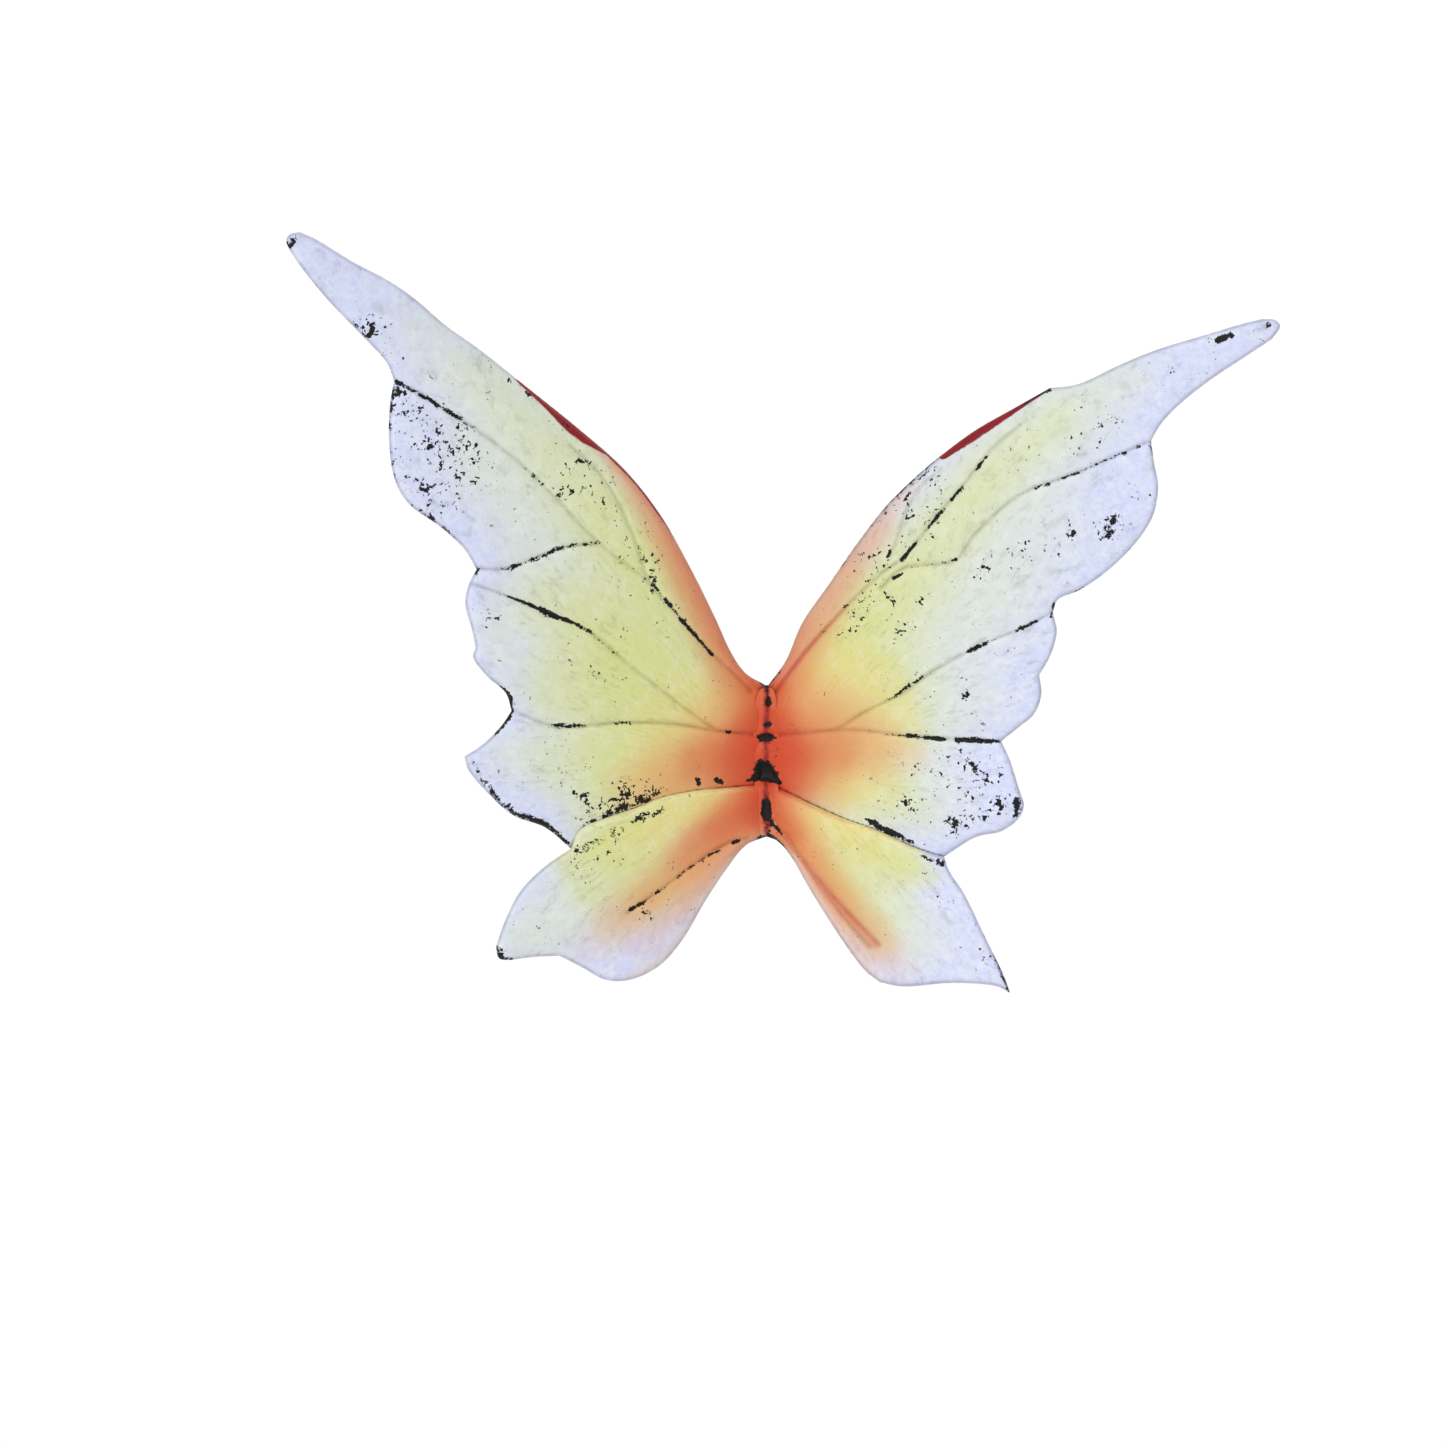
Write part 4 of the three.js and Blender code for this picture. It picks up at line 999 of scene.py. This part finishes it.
            [[11.5, -3, 1.4, 0.35], [17, -5.2, 2, 0.42], [15.5, -1, 2, 0.3], [19, -2, 2, 0.38]],
            [[33.5, 23.6, 2.2, 0.4], [36, 26, 1.5, 0.3]],
            [[26, 31, 2, 0.25], [31, 32.5, 1.8, 0.25], [32, 33.4, 1.6, 0.4], [34.5, 33.6, 1.2, 0.36]],
            [[11, 19.5, 2.4, 0.38], [16, 22.5, 2, 0.3], [12.5, 26.5, 1.4, 0.4], [16.5, 28.5, 1.6, 0.4]],
            [[8.6, 14, 2, 0.38], [10.4, 15.4, 2, 0.42], [14, 14, 2.5, 0.2], [15, 3.8, 2, 0.15]],
            [[29.8, 22, 1.6, 0.3], [21.5, 19.5, 1.6, 0.3], [19.8, 16.5, 1.6, 0.15]],
            [[20, 7.6, 1.6, 0.2], [24, 9, 1.6, 0.2], [17, 0, 2, 0.15]],
            [[38, 38, 2, 0.2], [44, 40.5, 1.5, 0.2]],
        ],
    },
}


def below_lap(lap):
    """A mask that is 1 under the line where a hindwing laps a forewing, and 0 above it."""
    line = np.array(sorted(lap))
    return lambda points: points[:, 1] < np.interp(points[:, 0], line[:, 0], line[:, 1]) - LAP_CLEARANCE


def cast_wing(name, outline, design, paint, lapped=None, padded=None, **sizes):
    """Cuts, paints and carves one wing, and returns it as a plain piece named after its node."""
    mesh, points, layer = sheet(name, outline)
    keep(mesh, "layer", layer)
    for coat, spread in SPREAD.items():
        keep(mesh, coat, airbrush(points, design.get(coat, []), spread))
    behind = airbrush(points, design.get("crimson_behind", []))
    front = airbrush(points, design.get("crimson_front", []))
    keep(mesh, "crimson", np.where(layer > 0, behind, np.maximum(behind, front)))
    for label, mask in (("lap", lapped), ("pad", padded)):
        keep(mesh, label, mask(points) if mask else np.zeros(len(points)))
    wing = link(name + "_cast", mesh)
    guides = {
        "Veins": lines(name + "_veins", [smooth(run, VEIN_STEP) for run in design["veins"]]),
        "Rim": lines(name + "_rim", [np.vstack([outline, outline[:1]])]),
        "Leading edge": lines(name + "_leading", [smooth(design["leading"], GUIDE_STEP)]),
    }
    sizes = {label.replace("_", " "): value for label, value in sizes.items()}
    shape_with(carving, carving_keys, wing, {"Paint": paint, **guides, **sizes})
    for guide in guides.values():
        bpy.data.objects.remove(guide)
    return wing


for name, design in FOREWINGS.items():
    lap = smooth(design["lap"], RIM_STEP)
    outer = np.abs(lap[:, 0]) > BLOCK_EDGE
    under = lap[outer][1:] - [0.0, LAP_WIDTH]
    inner = lap[~outer] - [0.0, TONGUE]
    hidden = straight([lap[0], *under, [inner[0, 0], under[-1, 1]], *inner, design["leading"][0]], RIM_STEP)
    rim = [smooth(run, RIM_STEP) for run in (design["leading"], *design["trailing"])]
    wing = cast_wing(name, closed(*rim, hidden), design, forewing_paint, below_lap(design["lap"]))
    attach(wing, "root")
    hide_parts(name)

# ==============================================================================================
# Hindwings
# The two short lower castings in the same resin. Their upper edges lap over the forewings and stand
# proud of them. Warmer paint: orange from the root, yellow along the top, a pale mist at the tips.
# ==============================================================================================

HINDWING_HALF = 1.1
HINDWING_SEED = 40.0
BLOCK_FOOT = -7.4  # the lower end of the root block
PAD_FADE = 0.3  # how far the thickening takes to fade out
PAD_GAP = 0.15  # kept clear of the forewing's tongue
PAD_SIDE_GAP = 0.1  # and of the end of that tongue
HINDWING_SWELL = 0.34


def shoulder(lap):
    """How much the front is thickened to fill the forewing's thickness over the root block."""
    line = np.array(sorted(lap))

    def thickening(points):
        x, z = points[:, 0], points[:, 1]
        clear = np.interp(x, line[:, 0], line[:, 1]) - TONGUE - PAD_GAP - z
        across = np.clip((BLOCK_EDGE - PAD_SIDE_GAP - np.abs(x)) / PAD_FADE, 0, 1)
        above = np.clip((z - BLOCK_FOOT) / PAD_FADE, 0, 1)
        return FOREWING_HALF * across * above * np.clip(clear / PAD_FADE, 0, 1)

    return thickening


hindwing_paint = wing_paint("painted_hindwing")

HINDWINGS = {
    "left_hindwing": {
        "lap": LEFT_LAP,
        "leading": LEFT_LAP,
        "edge": [
            [[-19.3, -8.2], [-21.8, -9.9], [-24.2, -12.3], [-25.7, -15.2], [-26.6, -17.8]],
            [[-26.6, -17.8], [-26.3, -18.9], [-25.3, -19.1]],
            [[-25.3, -19.1], [-22.8, -18.8], [-20.4, -18.7]],
            [[-20.4, -18.7], [-18.1, -19.9], [-15.9, -21.1], [-13.3, -21.1], [-10.5, -19.7], [-8.2, -17.1],
             [-6.1, -13.5], [-3.9, -10.2], [-2.1, -8], [-0.15, -7.1]],
        ],
        "veins": [[[-1.8, -7.2], [-3.8, -7.7], [-6.6, -9.4], [-10.5, -12.3], [-13.7, -14.5]]],
        "mist": [[[-5, -6, 10, 1], [-14, -10, 9, 1], [-19, -14, 7, 0.9], [-23.5, -17, 5, 0.8]]],
        "yellow": [
            [[-2, -3, 5, 1], [-9, -4.8, 5, 1], [-16, -7.6, 4.5, 1], [-19, -9.5, 3.2, 0.7]],
            [[-12, -9, 5, 0.8], [-17, -12, 4, 0.7]],
            [[-6, -9, 4.5, 0.9], [-12, -13, 4.2, 0.8], [-15, -15.5, 3.2, 0.4]],
        ],
        "gold": [[[-3, -3.5, 5, 0.8], [-9, -5.2, 4.5, 0.6], [-14, -8.2, 4, 0.3]]],
        "orange": [[
            [0, -4, 7, 1], [-5, -7.8, 5, 0.95], [-9.5, -11.6, 4.2, 0.7], [-14, -15, 4, 0.5],
            [-18, -18, 3, 0.12],
        ]],
        "red": [
            [[0, -2, 4.6, 1], [0, -5, 3.2, 0.55]],
            [[-1, -4, 3.6, 0.8], [-6, -6.6, 2.6, 0.4], [-9, -9.2, 2, 0.2]],
        ],
        "rose": [[
            [-1.8, -8, 1.2, 0.5], [-4.6, -10.2, 1.8, 0.6], [-8.6, -14.6, 2, 0.5], [-12.4, -18.2, 2.2, 0.2],
        ]],
        "chalk": [[
            [-1.4, -7.7, 0.4, 0.3], [-3.9, -10.3, 0.8, 0.8], [-6.1, -13.6, 0.9, 0.85],
            [-8.2, -17.2, 1.2, 0.85], [-10.7, -19.9, 1.6, 0.7], [-13.6, -21.2, 1.4, 0.4],
        ]],
        "ink": [
            [[-1.9, -7.3, 0.25, 0.6], [-3.4, -7.6, 0.25, 0.6]],
            [[-2.9, -7.5, 0.3, 0.95], [-3.3, -7.7, 0.3, 0.95]],
            [[-4.6, -8.4, 0.22, 0.6], [-6.6, -9.4, 0.26, 0.68], [-10.5, -12.3, 0.26, 0.66],
             [-13.7, -14.5, 0.3, 0.66]],
            [[-14, -6.2, 0.8, 0.5], [-17.5, -7.6, 1, 0.62], [-19, -8.6, 0.6, 0.66]],
            [[-10.5, -4.4, 0.7, 0.56], [-13, -5.4, 0.7, 0.6]],
            [[-26.5, -17.9, 0.7, 0.85], [-26.1, -18.9, 0.7, 0.9], [-25.2, -19, 0.5, 0.7]],
            [[-0.2, -3.6, 0.45, 1], [-0.3, -4.8, 0.4, 1]], [[-0.2, -7, 0.3, 0.9], [-1.2, -7.4, 0.25, 0.7]],
            [[-13.4, -14.2, 0.25, 0.8], [-12.6, -13.7, 0.25, 0.8]],
        ],
        "flecks": [
            [[-6, -9.6, 1, 0.3], [-10.5, -12.8, 1.2, 0.3], [-13.6, -14.8, 1.2, 0.4]],
            [[-16, -8, 2, 0.3], [-19, -9.6, 1.6, 0.35]],
            [[-22, -13.5, 1.8, 0.12], [-23.5, -15.5, 1.6, 0.12]],
        ],
    },
    "right_hindwing": {
        "lap": RIGHT_LAP,
        "leading": RIGHT_LAP,
        "edge": [
            [[17.5, -9], [18, -10.4], [19.6, -12.9], [21.5, -16.9], [23.2, -20.4], [23.9, -22.3]],
            [[23.9, -22.3], [22.2, -21.6], [18.1, -21.4], [13.7, -21.8], [11.2, -21.4]],
            [[11.2, -21.4], [9.5, -20], [7.3, -17], [4.5, -12.6], [2.5, -9.1], [1.2, -7.6], [0.15, -7.1]],
        ],
        "veins": [
            [[0.4, -5.2], [1.4, -6.6], [3.8, -9.8], [7.3, -13.8], [11.2, -17.8]],
            [[1.9, -6.7], [4.1, -10.1], [7.3, -14.6], [10.2, -18]],
        ],
        "mist": [[[3, -5, 8, 1], [10, -12, 7, 1], [14, -16.5, 5.5, 0.85]]],
        "yellow": [
            [[2, -4, 4, 1], [8, -6.8, 4, 1], [14, -9.9, 3.5, 0.9], [16, -10.9, 2, 0.5]],
            [[8, -10, 4, 0.6], [12, -14, 4, 0.4]], [[4, -8, 4, 1], [8, -13, 4, 0.85], [11, -17, 3.2, 0.6]],
        ],
        "gold": [
            [[3, -4.4, 4, 0.8], [8, -7.2, 3.8, 0.55], [12, -10, 3, 0.25]],
            # A narrow gold stroke along the upper edge, where it stands proud of the forewing: a painted
            # highlight
            [[1.9, -2.9, 0.7, 0.9], [4.8, -4.3, 0.7, 0.9], [7.8, -5.6, 0.7, 0.9], [11.2, -6.8, 0.6, 0.8],
             [14.7, -8.4, 0.5, 0.5]],
        ],
        "orange": [
            [[0, -4, 6, 1], [3, -8.4, 4.4, 0.95], [7, -13.3, 3.7, 0.75], [11, -17.7, 3.4, 0.5],
             [13.5, -20.5, 2.8, 0.15]],
            [[0.6, -2.3, 0.5, 0.6], [1.9, -2.9, 0.5, 0.7], [4.8, -4.3, 0.45, 0.6], [7.8, -5.6, 0.4, 0.35]],
        ],
        "red": [
            [[0, -2, 5, 1], [0, -4, 4, 0.8], [2, -7, 2.8, 0.45]],
            [[3.6, -9.6, 0.8, 0.4], [7.3, -14, 0.9, 0.5], [10.6, -17.6, 0.8, 0.4]],
        ],
        "rose": [[
            [1.2, -8, 1.2, 0.5], [3.6, -10.8, 1.7, 0.6], [6.8, -15.4, 1.7, 0.5], [9.6, -19.4, 1.6, 0.25],
        ]],
        "chalk": [[
            [1.4, -7.9, 0.4, 0.3], [2.6, -9.2, 0.6, 0.7], [4.6, -12.6, 0.7, 0.8], [7.3, -16.9, 0.8, 0.8],
            [9.4, -19.9, 1, 0.7], [11.2, -21.3, 1, 0.4],
        ]],
        "ink": [
            [[0.2, -6.9, 0.35, 1], [1.3, -7.7, 0.3, 0.95], [2.6, -9.3, 0.22, 0.8]],
            [[0.2, -5.4, 0.3, 0.9], [1.1, -6.3, 0.3, 1], [1.5, -6.8, 0.22, 0.9]],
            [[0.2, -3.6, 0.35, 1], [0.3, -4.8, 0.35, 1]],
            [[19, -11.2, 0.3, 0.6], [20.6, -14.6, 0.3, 0.6], [23.6, -21.4, 0.5, 0.8],
             [23.9, -22.2, 0.5, 0.85]], [[14.6, -8.6, 0.35, 0.6], [17.4, -9.6, 0.5, 0.75]],
        ],
        "flecks": [
            [[18.5, -13, 1.8, 0.25], [21, -17.5, 1.6, 0.25], [22.8, -20.8, 1.4, 0.3]],
            [[11, -8, 1.4, 0.15], [15, -10, 1.4, 0.2]],
        ],
    },
}

for name, design in HINDWINGS.items():
    rim = [smooth(run, RIM_STEP) for run in (*design["edge"], design["lap"][::-1])]
    seam = straight([rim[-2][-1], rim[-1][0]], RIM_STEP)
    wing = cast_wing(
        name,
        closed(*rim[:-1], seam, rim[-1]),
        design,
        hindwing_paint,
        padded=shoulder(design["lap"]),
        Offset=HINDWING_OFFSET,
        Half_thickness=HINDWING_HALF,
        Edge_roll=0.0,
        Panel_swell=HINDWING_SWELL,
        Seed=HINDWING_SEED,
    )
    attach(wing, "root")
    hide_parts(name)

# ==============================================================================================
# Seam bead
# Epoxy putty pressed by hand into the valley where the four castings meet, once they are glued. It is
# left lumpy, with deep pits between the lumps, painted orange-red, and its pits are filled with black.
# ==============================================================================================

BEAD_CROWN = 0.36  # height over the castings in the middle of the valley
BEAD_SWELL = 0.14  # added all over it, and lost again along its edge
BEAD_SINK = 0.1  # how far its edges lie under the castings' skin
BEAD_BACK = 0.25  # how much deeper its hidden face lies
BEAD_THINNEST = 0.2
BEAD_SLOPE = 1.2  # from its edge to its full height
BEAD_STEP = -1.7  # the height where it steps down from the hindwings' level to the forewings'
STEP_RUN, STEP_DEPTH = 1.8, 1.0
PIT_DEPTH = 0.45
PIT_MARGIN = 0.5
BEAD_MIDDLE, BEAD_HALF = 0.4, 6.9  # the middle of its height, and from there to where its ends begin
END_FADE = 0.4
END_WIDTH = 0.45
FAR = 9.0

BEAD_EDGE = [
    [0, 8], [0.6, 7.6], [1, 6.6], [1.1, 5.2], [1.4, 4], [1.3, 2.6], [1.7, 1], [1.5, -0.6], [1.2, -1.8],
    [1.3, -3], [1.4, -4.6], [1.2, -5.9], [0.8, -6.9], [0, -7.1], [-0.8, -6.9], [-1.2, -5.7], [-1.4, -4.3],
    [-1.3, -2.9], [-1.2, -1.7], [-1.6, -0.4], [-1.7, 1], [-1.3, 2.4], [-1.4, 3.8], [-1.1, 5.2], [-1, 6.6],
    [-0.6, 7.6], [0, 8],
]
# Lumps and pits: [x, z, width, height, size up or down]
BEAD_LUMPS = [
    [0, 7.3, 0.8, 0.4, 0.1], [-0.1, 5.2, 1, 0.55, 0.2], [0.2, 3.4, 1, 0.3, 0.2],
    [-0.2, 1.2, 1.2, 0.9, 0.24], [0.6, -2.5, 1, 0.5, 0.12], [-0.8, -2.3, 1, 0.5, 0.1],
    [0, -6.4, 0.8, 0.4, 0.2],
]
BEAD_PITS = [
    [0.1, 7.4, 0.22, 0.5, 0.35], [0.2, 6.3, 0.34, 0.52, 0.6], [0.2, 4.05, 0.5, 0.34, 0.5],
    [0, 2.75, 1, 0.48, 0.6], [-0.3, -0.7, 1.2, 0.85, 0.9], [0.75, -1.4, 0.65, 0.4, 0.5],
    [-1.3, -1, 0.5, 0.35, 0.4], [0, -4.4, 0.5, 1.2, 0.8], [0.5, -5.7, 0.36, 0.6, 0.4],
    [0.95, -6.4, 0.34, 0.5, 0.3],
]


def eased(share):
    return share * share * (3 - 2 * share)


bead_paint = wing_paint("painted_putty")
edge = smooth(BEAD_EDGE, RIM_STEP)
mesh, points, layer = sheet("seam_bead_putty", edge[:-1])
x, z = points[:, 0], points[:, 1]
step = np.clip((BEAD_STEP - z) / STEP_RUN + 0.5, 0, 1)
castings = FOREWING_HALF - middle(0, z) + STEP_DEPTH * eased(step)
skin = castings + SWEEP * np.abs(x)
valley = castings + np.hypot(SWEEP * x, BEAD_CROWN)
from_edge = distance(points, edge)[0]
dome = eased(np.clip(from_edge / BEAD_SLOPE, 0, 1))
crest = skin + (valley - skin + BEAD_SWELL) * dome - BEAD_SINK * (1 - dome)
for u, w, width, height, size in BEAD_LUMPS:
    crest += size * dome * np.exp(-(((x - u) / width) ** 2) - ((z - w) / height) ** 2)
hollow = np.zeros(len(points))
for u, w, width, height, size in BEAD_PITS:
    away = ((x - u) / width) ** 2 + ((z - w) / height) ** 2
    hollow = np.maximum(hollow, size * np.exp(-(away**2)))
crest -= PIT_DEPTH * hollow * np.clip(from_edge / PIT_MARGIN, 0, 1)
hidden = np.minimum(skin - BEAD_SINK - BEAD_BACK, crest - BEAD_THINNEST)
level = -np.where(layer > 0, crest, hidden)
mesh.vertices.foreach_set("co", (np.stack([x, level, z], 1) * MM).astype(np.float32).ravel())

# The castings' coats run on over it, redder along the middle, with black in the pits, and black painted
# shade at both ends
above, below = FOREWINGS["left_forewing"], HINDWINGS["left_hindwing"]
for coat in ("mist", "yellow", "gold", "orange", "red"):
    upper, lower = airbrush(points, above[coat]), airbrush(points, below[coat])
    keep(mesh, coat, upper + (lower - upper) * step)
for label in ("vein", "rim"):
    keep(mesh, label, np.full(len(points), FAR))
keep(mesh, "crimson", 0.33 + 0.22 * np.exp(-((x / 0.45) ** 2)) + 0.2 * hollow)
keep(mesh, "flecks", np.full(len(points), 0.1))
# Painted shade: a dark band along the edge at both ends, in the notches where the castings part
ends = np.clip((np.abs(z - BEAD_MIDDLE) - BEAD_HALF) / END_FADE, 0, 1)
ends *= np.clip(1 - from_edge / END_WIDTH, 0, 1)
ink = np.maximum(2.4 * hollow, 0.8 * ends)
for design in (*FOREWINGS.values(), *HINDWINGS.values()):
    ink = np.maximum(ink, airbrush(points, design["ink"], SPREAD["ink"]))
keep(mesh, "ink", np.clip(ink, 0, 1.25))
mesh.shade_smooth()
bead = link("seam_bead_putty", mesh)
bead.data.materials.append(bead_paint)
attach(bead, "root")
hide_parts("seam_bead")

# ==============================================================================================
# Stage
# A plain white paper sweep all round, so every side is seen against the same pale ground. The key
# comes from the upper left on the camera's side, with a weak fill from the right. A third light from
# the far side and above keeps the ground white and lights the fronts.
# ==============================================================================================

FLOOR_LEVEL = -80.0
SWEEP_INNER = 1350.0
SWEEP_CURVE = 600.0
SWEEP_BENDS = 12
SWEEP_SIDES = 96
WALL_TOP = 900.0

profile = [(0.0, FLOOR_LEVEL), (SWEEP_INNER, FLOOR_LEVEL)]
for k in range(1, SWEEP_BENDS + 1):
    turn = math.pi / 2 * k / SWEEP_BENDS
    rise = FLOOR_LEVEL + SWEEP_CURVE * (1 - math.cos(turn))
    profile.append((SWEEP_INNER + SWEEP_CURVE * math.sin(turn), rise))
profile.append((SWEEP_INNER + SWEEP_CURVE, WALL_TOP))
mesh = lathe("paper_sweep", profile, SWEEP_SIDES, ends=1)
mesh.transform(Matrix.Rotation(math.pi / 2, 4, "X"))
mesh.shade_smooth()
floor = link("paper_sweep", mesh)
paper, wiring, surface = finish_material("white_paper")
wiring.feed(surface, {"Base Color": (0.98, 0.98, 0.98, 1.0), "Roughness": 1.0, "Specular IOR Level": 0.0})
floor.data.materials.append(paper)

scene = bpy.context.scene
scene.view_settings.view_transform = "Standard"
scene.world = bpy.data.worlds.new("studio")
scene.world.use_nodes = True
sky = scene.world.node_tree.nodes["Background"]
sky.inputs["Color"].default_value = (1.0, 1.0, 1.0, 1.0)
sky.inputs["Strength"].default_value = 0.35


def soft_sun(name, towards, strength, spread):
    """Even light from one direction, with soft shadows. towards points from the wings to the light."""
    lamp = bpy.data.lights.new(name, "SUN")
    lamp.energy = strength
    lamp.angle = math.radians(spread)
    light = link(name, lamp)
    light.rotation_euler = (-Vector(towards)).to_track_quat("-Z", "Y").to_euler()


soft_sun("key", (-0.34, -0.66, 0.72), 1.5, 18)
soft_sun("fill", (0.62, -0.70, 0.36), 0.28, 50)
soft_sun("front", (0.25, 0.55, 0.80), 0.95, 40)

camera_data = bpy.data.cameras.new("camera")
camera_data.sensor_width = 36.0
camera_data.lens = 249.13
camera_data.clip_start = 0.01
camera_data.clip_end = 20.0
camera = link("camera", camera_data)
camera.location = Vector((-4.35, -1000.0, 4.25)) * MM
camera.rotation_euler = (math.pi / 2, 0.0, 0.0)
scene.camera = camera
